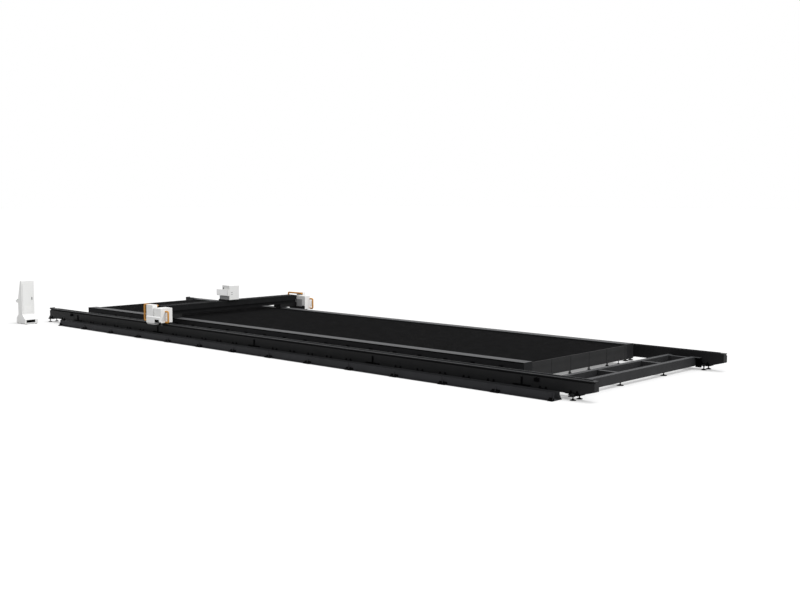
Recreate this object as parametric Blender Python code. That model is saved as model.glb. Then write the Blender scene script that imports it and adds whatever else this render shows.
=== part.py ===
# Fiber laser cutting machine: two long beds carry a gantry over a slatted table.
# Lengths in metres. X runs along the beds, Y across them, Z up.
# Working frame: X from the left bed end, Y from the near bed's outer face, Z from the floor.
import math

import bmesh
import bpy
from mathutils import Matrix, Vector

# ---------- sizes of the beds
seat_gap = 0.0003
bed_length = 28.35
bed_width = 0.2226
bed_top_z = 0.572
bed_bottom_z = 0.17
bed_span_y = 7.484
mid_y = bed_span_y / 2
groove_low_z = 0.505
groove_high_z = 0.552
groove_depth = 0.045
bed_nose_start_x = 27.95
bed_nose_z = 0.28
first_joint_x = 2.34
section_length = 5.9
section_count = 4
splice_width = 0.05
splice_proud = 0.012
splice_low_z = 0.226
splice_high_z = 0.48
foot_offsets = (1.11, 2.03, 2.95, 3.87, 4.79)
end_feet_x = (0.10, 1.15, 26.67, 27.70)
bracket_length = 0.11
bracket_half_width = 0.21
bracket_low_z = 0.13
pad_reach_y = 0.155
pad_radius = 0.055
pad_height = 0.026
jack_radius = 0.014
stop_length = 0.40
stop_height = 0.015
stop_block_length = 0.06
stop_block_height = 0.04
weld_depth = 0.01

# ---------- rails, racks and switches
rail_start_x = 0.45
rail_end_x = 28.20
rail_width = 0.034
rail_height = 0.03
rail_mid_y = 0.165
rack_start_x = 0.30
rack_face_y = 0.012
rack_height = 0.04
switch_stations_x = {"left": 1.85, "right": 26.46}
switch_length = 0.15
switch_depth = 0.05
switch_low_z = 0.368
switch_high_z = 0.495

# ---------- cable trough on the floor
trough_start_x = 1.72
trough_end_x = 27.40
trough_foot_y = (-0.56, -0.13)
trough_wall_y = (-0.488, -0.232)
trough_top_z = 0.23
trough_sheet = 0.006
trough_foot_thick = 0.012
gusset_count = 14
gusset_height_share = 0.8
gusset_thick = 0.012

# ---------- cutting table
table_start_x = 1.89
table_end_x = 25.43
table_near_y = 0.781
table_side_width = 0.396
table_side_top_z = 0.70
table_bottom_z = 0.21
slat_top_z = 0.67
slat_low_z = 0.54
ledge_reach = 0.05
ledge_thick = 0.03
end_plate_thick = 0.04
slat_pitch = 0.12
slat_thick = 0.006
slat_rail_width = 0.03
slat_bank_count = 4
tray_count = 2
tray_low_z = 0.20
tray_top_z = 0.36
tray_floor = 0.012
tray_sheet = 0.008
tray_beam_margin = 0.07
base_rows = 3
base_row_inset = 0.43
base_beam_width = 0.12
base_beam_low_z = 0.17
base_feet_pitch = 1.055
base_feet_inner = 5

# ---------- frame between the beds at the right end
end_beam_x = 27.24
end_beam_width = 0.18
end_inner_x = 26.40
end_low_z = 0.108
end_high_z = 0.39
end_cross_y = (0.435, 2.90, 5.365, 7.05)
end_cross_width = 0.14
end_pad_y = (0.435, 2.90, 5.365)
end_pad_radius = 0.10

# ---------- gantry
beam_low_x = 7.75
beam_high_x = 8.25
beam_low_z = 0.86
beam_top_z = 1.212
beam_end_y = 0.30
beam_step_z = 1.01
beam_recess = 0.05
beam_lip_z = 1.165
beam_lip = 0.008
tray_ledge_width = 0.08
tray_ledge_height = 0.03
tray_ledge_end_y = 0.55
tray_ledge_wall = 0.006
block_length = 0.15
block_width = 0.10
block_low_z = 0.585
block_high_z = 0.625
block_inset_x = 0.05
sole_start_x = 7.76
sole_near_y = 0.04
sole_far_y = 0.28
sole_top_z = 0.725
leg_far_y = 1.18
bracket_plate_x = (7.90, 8.33)
bracket_plate_y = -0.012
bracket_plate_top_z = 0.765
motor_shelf_x = (8.43, 8.70)
motor_shelf_near_y = -0.14
motor_shelf_thick = 0.02

# ---------- drive units beside the beds
pinion_x = 8.56
pinion_y = -0.030
pinion_module = 0.004
pinion_teeth = 18
pinion_low_z = 0.509
pinion_high_z = 0.545
shaft_radius = 0.012
shaft_hole_radius = 0.016
motor_radius = 0.062
motor_neck_radius = 0.075
motor_neck_height = 0.09
motor_height = 0.34
tall_cover_x = (7.87, 8.28)
tall_cover_y = (-0.26, -0.04)
far_tall_cover_depth = 0.136
tall_cover_top_z = 1.30
low_cover_y = (-0.27, -0.0123)
low_cover_z = (0.53, 0.81)
low_cover_bevel = 0.07
cover_round = 0.012
drive_cover_x = (8.335, 8.7903)
drive_cover_y = (-0.226, 0.2997)
drive_cover_low_z = 0.88
drive_cover_top_z = 1.19
drive_cover_face_low_z = 0.63
drive_cover_window_x = 8.60
drive_cover_window_z = 1.04
far_cover_start_x = 8.24
far_cover_outer_y = 0.014
far_cover_notch_half = 0.09
far_cover_notch_z = 1.02
drive_skirt_low_z = 0.77
drive_skirt_step = 0.03
cover_sheet = 0.0043
hoop_tube = 0.07
hoop_round = 0.08
hoop_near_y = -0.0397
left_hoop_x = 7.33
left_hoop_top_end_x = 8.26
left_hoop_z = (0.60, 1.295)
right_hoop_reach = 0.1997
right_hoop_z = (0.615, 1.098)

# ---------- saddle on the crossbeam
saddle_y = (3.41, 3.91)
saddle_plate_x = (7.66, 7.69)
saddle_plate_low_z = 0.875
saddle_top_plate_z = (1.226, 1.2557)
saddle_top_plate_end_x = 8.37
y_rail_low_z = 0.925
y_rail_high_z = 1.155
y_rail_depth = 0.03
y_rail_end_y = 0.50
y_block_length = 0.11
y_block_height = 0.08
y_block_inset_y = 0.03
y_rack_low_z = 1.03
y_rack_depth = 0.03
y_pinion_y = 3.50
y_pinion_module = 0.003
y_pinion_teeth = 16
y_pinion_face_x = (7.722, 7.745)
y_motor_size = 0.12
y_motor_length = 0.19
saddle_cover_x = (7.80, 8.38)
saddle_cover_step_x = 7.92
saddle_cover_slant_x = 7.88
saddle_cover_step_z = 1.41
saddle_top_z = 1.84
slot_y = (3.486, 3.589)
slot_z = (1.48, 1.56)
slot_height = 0.022
slot_depth = 0.004
side_housing_x = (7.62, 8.37)
side_housing_y = 3.335
side_housing_z = (1.42, 1.665)
z_housing_x = 7.45
z_housing_y = (3.66, 3.90)
z_housing_z = (0.96, 1.50)
z_housing_wall = 0.018
z_motor_size = 0.10
z_motor_height = 0.155
screw_x = 7.56
screw_radius = 0.012
screw_journal_radius = 0.008
screw_gap = 0.002
carriage_clearance = 0.0006
carriage_z = (1.16, 1.32)
carriage_face_x = (7.40, 7.43)
carriage_face_z = (1.02, 1.36)
head_size = 0.085
head_y = 3.78
head_z = (0.93, 1.33)
head_round = 0.02
nozzle_tip_z = 0.80
nozzle_radii = (0.032, 0.026, 0.007)
nozzle_collar_height = 0.045

# ---------- operator console
console_y = (-1.335, -0.75)
console_rear_x = 0.041
console_front_x = -0.285
console_knee_z = 1.04
console_front_top_x = -0.067
console_top_z = (1.85, 1.87)
console_low_z = 0.40
console_wall = 0.02
base_foot_x = (-0.458, 0.304)
base_shoulder_x = (-0.44, 0.065)
base_front_z = 0.261
base_rear_z = (0.205, 0.381)
base_low_z = 0.022
base_foot_size = 0.06
base_foot_inset = 0.03
base_slot_y = (-1.275, -0.87)
base_slot_z = (0.065, 0.183)
base_slot_depth = 0.02
door_y = (-1.29, -0.835)
door_z = (0.50, 1.72)
door_thick = 0.012
door_lip = 0.012
hinge_out = 0.006
handle_y = -0.87
handle_z = 1.13
handle_hub_radius = 0.016
handle_hub_depth = 0.014
handle_bar_length = 0.11
handle_bar_width = 0.022
handle_bar_depth = 0.014
screen_half_width = 0.19
screen_along_shares = (0.24, 0.70)
screen_thick = 0.012
shelf_front_x = -0.535
shelf_z = (0.90, 1.02)
shelf_margin_y = 0.025
shelf_nose = 0.05
keyboard_x = (-0.51, -0.365)
keyboard_y = (-1.24, -0.93)
keyboard_thick = 0.02
button_x = -0.435
estop_y = -0.855
start_y = -1.275
button_stem_radius = 0.007
button_hole_radius = 0.0078
button_hole_depth = 0.025
button_rise = 0.0065
estop_radius = 0.021
start_radius = 0.014
button_cap_height = 0.018

# ---------- shape detail
round_sides = 16
flat_angle = 0.0005
pad_sides = 6
tooth_root_depth_share = 1.25
tooth_tip_half_share = 0.13
tooth_root_half_share = 0.36
pinion_clearance = 0.001
hoop_corner_steps = 4

# the working frame's point that becomes the part's own origin
low_x = shelf_front_x
high_x = bed_length
low_y = console_y[0]
high_y = bed_span_y - low_cover_y[0]
origin = Vector(((low_x + high_x) / 2, (low_y + high_y) / 2, 0))

sole_end_x = drive_cover_x[1] - cover_sheet - seat_gap
low_cover_x = (tall_cover_x[0], drive_cover_x[0] - seat_gap)
right_hoop_x = drive_cover_x[1] + right_hoop_reach
keyboard_z = (shelf_z[1] + seat_gap, shelf_z[1] + seat_gap + keyboard_thick)
table_inner_near_y = table_near_y + table_side_width
table_inner_far_y = bed_span_y - table_inner_near_y
table_mid_x = (table_start_x + table_end_x) / 2

places = {}


def clearScene():
    for thing in list(bpy.data.objects):
        bpy.data.objects.remove(thing, do_unlink=True)


def newMaterial(name, colour, roughness, metallic):
    surface = bpy.data.materials.new(name)
    surface.use_nodes = True
    shader = surface.node_tree.nodes["Principled BSDF"]
    shader.inputs["Base Color"].default_value = (*colour, 1)
    shader.inputs["Roughness"].default_value = roughness
    shader.inputs["Metallic"].default_value = metallic
    surface.diffuse_color = (*colour, 1)
    return surface


def darkPaint(name):
    return newMaterial(name, (0.016, 0.017, 0.019), 0.45, 0)


def tablePaint(name):
    return newMaterial(name, (0.16, 0.17, 0.18), 0.5, 0)


def whitePaint(name):
    return newMaterial(name, (0.80, 0.80, 0.79), 0.35, 0)


def orangePaint(name):
    return newMaterial(name, (0.52, 0.20, 0.04), 0.4, 0)


def groundSteel(name):
    return newMaterial(name, (0.55, 0.56, 0.57), 0.3, 1)


def slatSteel(name):
    return newMaterial(name, (0.03, 0.03, 0.032), 0.6, 0.6)


def blackPlastic(name):
    return newMaterial(name, (0.012, 0.012, 0.013), 0.5, 0)


def redPlastic(name):
    return newMaterial(name, (0.62, 0.02, 0.015), 0.35, 0)


def greenPlastic(name):
    return newMaterial(name, (0.02, 0.42, 0.08), 0.35, 0)


def brass(name):
    return newMaterial(name, (0.72, 0.48, 0.20), 0.3, 1)


def toSpace(axis, along, first, second):
    if axis == "X":
        return Vector((along, first, second))
    if axis == "Y":
        return Vector((first, along, second))
    return Vector((first, second, along))


# an outline in the plane across the axis, drawn out from low to high
def prism(outline, axis, low, high):
    shape = bmesh.new()
    ring = [shape.verts.new(toSpace(axis, low, *point)) for point in outline]
    face = shape.faces.new(ring)
    drawn = bmesh.ops.extrude_face_region(shape, geom=[face])
    moved = [item for item in drawn["geom"] if isinstance(item, bmesh.types.BMVert)]
    bmesh.ops.translate(shape, verts=moved, vec=toSpace(axis, high - low, 0, 0))
    bmesh.ops.recalc_face_normals(shape, faces=shape.faces)
    return shape


def box(xs, ys, zs):
    outline = [(xs[0], ys[0]), (xs[1], ys[0]), (xs[1], ys[1]), (xs[0], ys[1])]
    return prism(outline, "Z", zs[0], zs[1])


# a turned piece: pairs of radius and place along the axis
def lathe(profile, centre, axis="Z", sides=round_sides):
    shape = bmesh.new()
    points = [shape.verts.new((radius, 0, along)) for radius, along in profile]
    edges = [shape.edges.new(pair) for pair in zip(points, points[1:])]
    bmesh.ops.spin(shape, geom=points + edges, cent=(0, 0, 0), axis=(0, 0, 1),
                   angle=math.tau, steps=sides, use_merge=True)
    rims = [edge for edge in shape.edges if edge.is_boundary]
    bmesh.ops.holes_fill(shape, edges=rims, sides=sides)
    bmesh.ops.recalc_face_normals(shape, faces=shape.faces)
    for face in shape.faces:
        face.smooth = len(face.verts) == 4 and sides == round_sides
    turned = Matrix.Rotation(math.pi / 2, 4, "Y") if axis == "X" else Matrix.Identity(4)
    bmesh.ops.transform(shape, matrix=Matrix.Translation(centre) @ turned, verts=shape.verts)
    return shape


# one tooth is a trapezium between the root circle and the tip circle
def gearOutline(module, teeth):
    pitch_radius = module * teeth / 2
    root_radius = pitch_radius - module * tooth_root_depth_share
    tip_radius = pitch_radius + module
    outline = []
    for tooth in range(teeth):
        corners = ((root_radius, -tooth_root_half_share), (tip_radius, -tooth_tip_half_share),
                   (tip_radius, tooth_tip_half_share), (root_radius, tooth_root_half_share))
        for radius, share in corners:
            angle = math.tau * (tooth + share) / teeth
            outline.append((radius * math.cos(angle), radius * math.sin(angle)))
    return outline


# shapes that don't meet each other, as one tool
def together(shapes):
    whole = bmesh.new()
    for shape in shapes:
        mesh = bpy.data.meshes.new("helper")
        shape.to_mesh(mesh)
        shape.free()
        whole.from_mesh(mesh)
        bpy.data.meshes.remove(mesh)
    return whole


def toObject(name, shape):
    mesh = bpy.data.meshes.new(name)
    shape.to_mesh(mesh)
    shape.free()
    made = bpy.data.objects.new(name, mesh)
    bpy.context.scene.collection.objects.link(made)
    return made


def boolean(target, shape, operation):
    tool = toObject("helper", shape)
    modifier = target.modifiers.new(operation, "BOOLEAN")
    modifier.operation = operation
    modifier.solver = "EXACT"
    modifier.object = tool
    graph = bpy.context.evaluated_depsgraph_get()
    mesh = bpy.data.meshes.new_from_object(target.evaluated_get(graph))
    before = target.data
    target.modifiers.clear()
    target.data = mesh
    bpy.data.meshes.remove(before)
    bpy.data.objects.remove(tool, do_unlink=True)


# the empties that carry what moves; each one stands on its joint's axis
def pivot(name, point, parent=None):
    made = bpy.data.objects.new(name, None)
    bpy.context.scene.collection.objects.link(made)
    made.parent = parent
    start = places[parent.name] if parent else origin
    made.location = Vector(point) - start
    places[name] = Vector(point)
    return made


# joins and cuts one piece's shapes, then hangs it on its pivot
def piece(name, shapes, finish, cuts=(), parent=None, point=None, far=False):
    made = toObject(name, shapes[0])
    for shape in shapes[1:]:
        boolean(made, shape, "UNION")
    for shape in cuts:
        boolean(made, shape, "DIFFERENCE")
    mesh = made.data
    mesh.name = name
    tidy = bmesh.new()
    tidy.from_mesh(mesh)
    bmesh.ops.dissolve_limit(tidy, angle_limit=flat_angle, verts=tidy.verts, edges=tidy.edges)
    tidy.to_mesh(mesh)
    tidy.free()
    if far:
        across = Matrix.Translation((0, bed_span_y, 0)) @ Matrix.Diagonal((1, -1, 1, 1))
        mesh.transform(across)
        mesh.flip_normals()
    start = places[parent.name] if parent else origin
    here = Vector(point) if point else start
    mesh.transform(Matrix.Translation(-here))
    made.parent = parent
    made.location = here - start
    places[name] = here
    mesh.materials.clear()
    mesh.materials.append(finish(name))
    return made


def sideName(side, name):
    return side + "_" + name


# ---------- beds
def bedStations():
    stations = list(end_feet_x)
    for section in range(section_count):
        start = first_joint_x + section * section_length
        stations += [start + offset for offset in foot_offsets]
    return stations


def jackPad(x, y, top_z, radius=pad_radius):
    profile = [(radius, 0), (jack_radius, pad_height), (jack_radius, top_z)]
    return lathe(profile, (x, y, 0), sides=pad_sides)


def bedProfile():
    return [(0, bed_bottom_z), (bed_width, bed_bottom_z), (bed_width, bed_top_z), (0, bed_top_z),
            (0, groove_high_z), (groove_depth, groove_high_z), (groove_depth, groove_low_z),
            (0, groove_low_z)]


def bedSplices():
    splices = []
    for joint in range(section_count + 1):
        x = first_joint_x + joint * section_length
        splices.append(box((x - splice_width / 2, x + splice_width / 2), (-splice_proud, weld_depth),
                           (splice_low_z, splice_high_z)))
    return splices


def bedBrackets():
    middle = bed_width / 2
    high_z = bed_bottom_z + weld_depth
    return [box((x - bracket_length / 2, x + bracket_length / 2),
                (middle - bracket_half_width, middle + bracket_half_width),
                (bracket_low_z, high_z)) for x in bedStations()]


def bedPads():
    middle = bed_width / 2
    top_z = bracket_low_z + weld_depth
    pads = []
    for x in bedStations():
        for y in (middle - pad_reach_y, middle + pad_reach_y):
            pads.append(jackPad(x, y, top_z))
    return pads


def bed(side):
    low_z = bed_top_z - weld_depth
    stop = prism([(0, low_z), (stop_length, low_z), (stop_length, bed_top_z + stop_height),
                  (stop_block_length, bed_top_z + stop_height),
                  (stop_block_length, bed_top_z + stop_block_height),
                  (0, bed_top_z + stop_block_height)], "Y", seat_gap, bed_width - seat_gap)
    nose = prism([(bed_nose_start_x, bed_bottom_z), (bed_nose_start_x, 0), (bed_length + pad_radius, 0),
                  (bed_length + pad_radius, bed_nose_z), (bed_length, bed_nose_z)],
                 "Y", -bed_width, bed_width + bed_width)
    beam = prism(bedProfile(), "X", 0, bed_length)
    shapes = [beam, together(bedSplices() + [stop]), together(bedBrackets()), together(bedPads())]
    piece(sideName(side, "bed"), shapes, darkPaint, cuts=[nose], far=side == "far")


def xRail(side):
    ys = (rail_mid_y - rail_width / 2, rail_mid_y + rail_width / 2)
    low_z = bed_top_z + seat_gap
    shape = box((rail_start_x, rail_end_x), ys, (low_z, low_z + rail_height))
    piece(sideName(side, "x_rail"), [shape], groundSteel, far=side == "far")


def xRack(side):
    low_z = groove_low_z + seat_gap
    shape = box((rack_start_x, rail_end_x), (rack_face_y, groove_depth - seat_gap),
                (low_z, low_z + rack_height))
    piece(sideName(side, "x_rack"), [shape], groundSteel, far=side == "far")


def limitSwitch(name, x, far):
    shape = box((x - switch_length / 2, x + switch_length / 2), (-switch_depth, -seat_gap),
                (switch_low_z, switch_high_z))
    piece(name, [shape], blackPlastic, far=far)


# ---------- cable trough
def cableTrough():
    foot = trough_foot_y
    wall = trough_wall_y
    channel = [(foot[0], 0), (foot[1], 0), (foot[1], trough_foot_thick), (wall[1], trough_foot_thick),
               (wall[1], trough_top_z), (wall[1] - trough_sheet, trough_top_z),
               (wall[1] - trough_sheet, trough_foot_thick + trough_sheet),
               (wall[0] + trough_sheet, trough_foot_thick + trough_sheet),
               (wall[0] + trough_sheet, trough_top_z), (wall[0], trough_top_z),
               (wall[0], trough_foot_thick), (foot[0], trough_foot_thick)]
    low_z = trough_foot_thick / 2
    high_z = trough_top_z * gusset_height_share
    pitch = (trough_end_x - trough_start_x - gusset_thick * 3) / (gusset_count - 1)
    gussets = []
    for station in range(gusset_count):
        x = trough_start_x + gusset_thick + station * pitch
        for edge, side_y, into in ((foot[0], wall[0], trough_sheet / 2), (foot[1], wall[1], -trough_sheet / 2)):
            outline = [(edge, low_z), (side_y + into, low_z), (side_y + into, high_z)]
            gussets.append(prism(outline, "X", x, x + gusset_thick))
    shapes = [prism(channel, "X", trough_start_x, trough_end_x), together(gussets)]
    piece("cable_trough", shapes, darkPaint)


# ---------- cutting table
def tableRows(start_x, end_x):
    low = start_x + base_row_inset
    pitch = (end_x - start_x - base_row_inset * 2) / (base_rows - 1)
    return [low + row * pitch for row in range(base_rows)]


# a box beam with the ledge that carries the slats
def tableSide(side):
    outer = table_near_y
    inner = table_inner_near_y
    lip = inner + ledge_reach
    ledge_z = slat_low_z - seat_gap
    outline = [(outer, table_bottom_z), (inner, table_bottom_z), (inner, ledge_z - ledge_thick),
               (lip, ledge_z - ledge_thick), (lip, ledge_z), (inner, ledge_z),
               (inner, table_side_top_z), (outer, table_side_top_z)]
    rows = tableRows(table_start_x, table_mid_x) + tableRows(table_mid_x, table_end_x)
    pads = [jackPad(x, outer + table_side_width / 2, table_bottom_z + weld_depth) for x in rows]
    beam = prism(outline, "X", table_start_x, table_end_x)
    piece(sideName(side, "table_side"), [beam, together(pads)], tablePaint,
          far=side == "far")


def tableEnd(name, low_x):
    shape = box((low_x, low_x + end_plate_thick),
                (table_inner_near_y + seat_gap, table_inner_far_y - seat_gap),
                (table_bottom_z, slat_top_z))
    notches = []
    for ledge in (table_inner_near_y, table_inner_far_y):
        notches.append(box((low_x - end_plate_thick, low_x + end_plate_thick * 2),
                           (ledge - ledge_reach - seat_gap, ledge + ledge_reach + seat_gap),
                           (slat_low_z - seat_gap * 2 - ledge_thick, slat_low_z)))
    piece(name, [shape], tablePaint, cuts=[together(notches)])


# a ladder seen from above: two rails along the table, slats across it
def ladder(xs, ys, rail, slats, thick, low_z, high_z):
    pitch = (xs[1] - xs[0] - thick) / slats
    shape = bmesh.new()
    near = ys[0] + rail
    far = ys[1] - rail
    edges_x = []
    for slat in range(slats + 1):
        start = xs[0] + slat * pitch
        edges_x += [start, start + thick]
    near_row = [shape.verts.new((x, near, low_z)) for x in edges_x]
    far_row = [shape.verts.new((x, far, low_z)) for x in edges_x]
    near_corners = [shape.verts.new((x, ys[0], low_z)) for x in xs]
    far_corners = [shape.verts.new((x, ys[1], low_z)) for x in xs]
    shape.faces.new(near_corners + near_row[::-1])
    shape.faces.new(far_row + far_corners[::-1])
    for slat in range(0, len(edges_x), 2):
        shape.faces.new((near_row[slat], near_row[slat + 1], far_row[slat + 1], far_row[slat]))
    flat = list(shape.faces)
    drawn = bmesh.ops.extrude_face_region(shape, geom=flat)
    moved = [item for item in drawn["geom"] if isinstance(item, bmesh.types.BMVert)]
    bmesh.ops.translate(shape, verts=moved, vec=(0, 0, high_z - low_z))
    bmesh.ops.recalc_face_normals(shape, faces=shape.faces)
    return shape


def slatBanks():
    start = table_start_x + end_plate_thick + seat_gap
    end = table_end_x - end_plate_thick - seat_gap
    length = (end - start - seat_gap * (slat_bank_count - 1)) / slat_bank_count
    slats = round(length / slat_pitch)
    ys = (table_inner_near_y + seat_gap, table_inner_far_y - seat_gap)
    for number in range(slat_bank_count):
        low = start + number * (length + seat_gap)
        shape = ladder((low, low + length), ys, slat_rail_width, slats, slat_thick,
                       slat_low_z, slat_top_z)
        piece("slat_bank_" + str(number + 1), [shape], slatSteel)


# an open pan on cross beams, each beam on a row of jack pads
def slagTray(number):
    start = table_start_x + end_plate_thick + seat_gap
    end = table_end_x - end_plate_thick - seat_gap
    length = (end - start - seat_gap * (tray_count - 1)) / tray_count
    low = start + number * (length + seat_gap)
    high = low + length
    ys = (table_inner_near_y + seat_gap, table_inner_far_y - seat_gap)
    pan = box((low, high), ys, (tray_low_z, tray_top_z))
    inside = box((low + tray_sheet, high - tray_sheet), (ys[0] + tray_sheet, ys[1] - tray_sheet),
                 (tray_low_z + tray_floor, tray_top_z + tray_floor))
    beam_ys = (ys[0] + tray_beam_margin, ys[1] - tray_beam_margin)
    beams = []
    pads = []
    for x in tableRows(low, high):
        beams.append(box((x - base_beam_width / 2, x + base_beam_width / 2), beam_ys,
                         (base_beam_low_z, tray_low_z + tray_floor / 2)))
        for foot in range(base_feet_inner):
            y = mid_y + (foot - (base_feet_inner - 1) / 2) * base_feet_pitch
            pads.append(jackPad(x, y, tray_low_z + tray_floor / 4))
    piece("slag_tray_" + str(number + 1), [pan, together(beams), together(pads)], darkPaint,
          cuts=[inside])


def endFrame():
    ys = (bed_width + seat_gap, bed_span_y - bed_width - seat_gap)
    beams = [box((x, x + end_beam_width), ys, (end_low_z, end_high_z))
             for x in (end_inner_x, end_beam_x)]
    crosses = []
    pads = []
    for y in end_cross_y:
        crosses.append(box((end_inner_x + weld_depth, end_beam_x + weld_depth),
                           (y - end_cross_width / 2, y + end_cross_width / 2),
                           (end_low_z + weld_depth, end_high_z - weld_depth)))
    for x in (end_inner_x, end_beam_x):
        for y in end_pad_y:
            pads.append(jackPad(x + end_beam_width / 2, y, end_low_z + weld_depth, end_pad_radius))
    piece("end_frame", [together(beams), together(crosses), together(pads)], darkPaint)


# ---------- gantry
def crossbeam(parent):
    back = beam_high_x - beam_recess
    outline = [(beam_low_x, beam_low_z), (back, beam_low_z), (back, beam_step_z),
               (beam_high_x, beam_step_z), (beam_high_x, beam_lip_z),
               (beam_high_x + beam_lip, beam_lip_z), (beam_high_x + beam_lip, beam_lip_z + beam_lip),
               (beam_high_x, beam_lip_z + beam_lip), (beam_high_x, beam_top_z),
               (beam_low_x, beam_top_z)]
    beam = prism(outline, "Y", beam_end_y, bed_span_y - beam_end_y)
    piece("crossbeam", [beam], darkPaint, parent=parent)


# rides on the rail with two blocks, carries the beam's end and the drive
def carriage(side, parent):
    weld = weld_depth
    sole = box((sole_start_x, sole_end_x), (sole_near_y, sole_far_y), (block_high_z, sole_top_z))
    block_ys = (rail_mid_y - block_width / 2, rail_mid_y + block_width / 2)
    low_block_x = sole_start_x + block_inset_x
    high_block_x = sole_end_x - block_inset_x - block_length
    blocks = [box((x, x + block_length), block_ys, (block_low_z, block_high_z + weld))
              for x in (low_block_x, high_block_x)]
    bracket = box(bracket_plate_x, (bracket_plate_y, sole_near_y + weld),
                  (block_high_z + weld, bracket_plate_top_z))
    shelf = box(motor_shelf_x, (motor_shelf_near_y, sole_near_y + weld),
                (block_high_z + weld, block_high_z + weld + motor_shelf_thick))
    leg = box((sole_start_x, beam_high_x - beam_recess), (sole_near_y + weld, leg_far_y),
              (sole_top_z - weld, beam_low_z - seat_gap))
    rail_top = bed_top_z + seat_gap + rail_height
    channel = box((sole_start_x - weld, sole_end_x + weld),
                  (rail_mid_y - rail_width / 2 - seat_gap, rail_mid_y + rail_width / 2 + seat_gap),
                  (block_low_z - weld, rail_top + seat_gap))
    hole = lathe([(shaft_hole_radius, block_low_z), (shaft_hole_radius, sole_top_z)],
                 (pinion_x, pinion_y, 0))
    piece(sideName(side, "carriage"), [sole, together(blocks + [bracket, shelf]), leg], darkPaint,
          cuts=[channel, hole], parent=parent, far=side == "far")


def xMotor(side, parent):
    seat_z = block_high_z + weld_depth + motor_shelf_thick + seat_gap
    profile = [(motor_radius, seat_z), (motor_radius, seat_z + motor_neck_height),
               (motor_neck_radius, seat_z + motor_neck_height),
               (motor_neck_radius, seat_z + motor_height)]
    shape = lathe(profile, (pinion_x, pinion_y, 0))
    piece(sideName(side, "x_motor"), [shape], blackPlastic, parent=parent, far=side == "far")


def xPinion(side, parent):
    outline = gearOutline(pinion_module, pinion_teeth)
    moved = [(x + pinion_x, y + pinion_y) for x, y in outline]
    gear = prism(moved, "Z", pinion_low_z, pinion_high_z)
    motor_low_z = block_high_z + weld_depth + motor_shelf_thick
    middle_z = (pinion_low_z + pinion_high_z) / 2
    shaft = lathe([(shaft_radius, middle_z), (shaft_radius, motor_low_z)], (pinion_x, pinion_y, 0))
    y = pinion_y if side == "near" else bed_span_y - pinion_y
    piece(sideName(side, "x_pinion"), [gear, shaft], groundSteel, parent=parent,
          point=(pinion_x, y, middle_z), far=side == "far")


def tallCover(side, parent):
    low_y, high_y = tall_cover_y
    if side == "far":
        low_y = high_y - far_tall_cover_depth
    tall = prism([(low_y, low_cover_z[1] - weld_depth), (high_y, low_cover_z[1] - weld_depth),
                  (high_y, tall_cover_top_z), (low_y + cover_round, tall_cover_top_z),
                  (low_y, tall_cover_top_z - cover_round)], "X", *tall_cover_x)
    low_y, high_y = low_cover_y
    low_z, high_z = low_cover_z
    low = prism([(low_y, low_z + low_cover_bevel), (low_y + low_cover_bevel, low_z),
                 (high_y, low_z), (high_y, high_z), (low_y, high_z)], "X", *low_cover_x)
    piece(sideName(side, "tall_cover"), [low, tall], whitePaint, parent=parent,
          far=side == "far")


# an open hood over the motor: its end face hangs down to the carriage
def driveCover(side, parent):
    low_x, high_x = drive_cover_x
    low_y, high_y = drive_cover_y
    sheet = cover_sheet
    top_z = drive_cover_top_z
    if side == "far":
        low_x, low_y = far_cover_start_x, far_cover_outer_y
        skirt = [(low_y, drive_skirt_low_z)]
        inner_skirt = [(low_y + sheet, block_low_z)]
        step = inner_step = []
    else:
        step_y = low_y - drive_skirt_step
        skirt = [(step_y, drive_skirt_low_z)]
        inner_skirt = [(step_y + sheet, block_low_z)]
        step = [(low_y, drive_cover_low_z), (step_y, drive_cover_low_z)]
        inner_step = [(y + sheet, z - sheet) for y, z in step]
    outside = prism(skirt + [(high_y, drive_skirt_low_z), (high_y, top_z),
                             (low_y + cover_round, top_z), (low_y, top_z - cover_round)] + step,
                    "X", low_x, high_x)
    inside = prism(inner_skirt + [(high_y - sheet, block_low_z), (high_y - sheet, top_z - sheet),
                                  (low_y + cover_round, top_z - sheet),
                                  (low_y + sheet, top_z - cover_round)] + inner_step,
                   "X", low_x + sheet, high_x - sheet)
    face = box((high_x - sheet, high_x), (low_y, high_y), (drive_cover_face_low_z, top_z - sheet))
    window = box((low_x - sheet, drive_cover_window_x), (high_y - sheet * 2, high_y + sheet),
                 (block_low_z, drive_cover_window_z))
    cuts = [inside, window]
    if side == "far":
        cuts.append(box((pinion_x - far_cover_notch_half, pinion_x + far_cover_notch_half),
                        (low_y - sheet, low_y + sheet * 2), (block_low_z, far_cover_notch_z)))
    piece(sideName(side, "drive_cover"), [outside, face], whitePaint, cuts=cuts, parent=parent,
          far=side == "far")


# the rounded C of a guard rail, drawn once outside and once inside
def hoopOutline(open_top_x, open_low_x, closed_x, zs):
    way = 1 if closed_x > open_top_x else -1
    outline = []
    for inset, order in ((0, 1), (hoop_tube, -1)):
        radius = hoop_round - inset
        edge_x = closed_x - way * inset
        row = [(open_top_x, zs[1] - inset)]
        for corner, centre_z, start in ((0, zs[1] - hoop_round, math.pi / 2),
                                        (1, zs[0] + hoop_round, 0)):
            for step in range(hoop_corner_steps + 1):
                angle = start - math.pi / 2 * step / hoop_corner_steps
                row.append((closed_x - way * hoop_round + way * radius * math.cos(angle),
                            centre_z + radius * math.sin(angle)))
        row.append((open_low_x, zs[0] + inset))
        outline += row[::order]
    return outline


def leftHoop(side, parent):
    outline = hoopOutline(left_hoop_top_end_x, tall_cover_x[0] - seat_gap, left_hoop_x, left_hoop_z)
    shape = prism(outline, "Y", hoop_near_y, hoop_near_y + hoop_tube)
    piece(sideName(side, "left_hoop"), [shape], orangePaint, parent=parent, far=side == "far")


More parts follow.
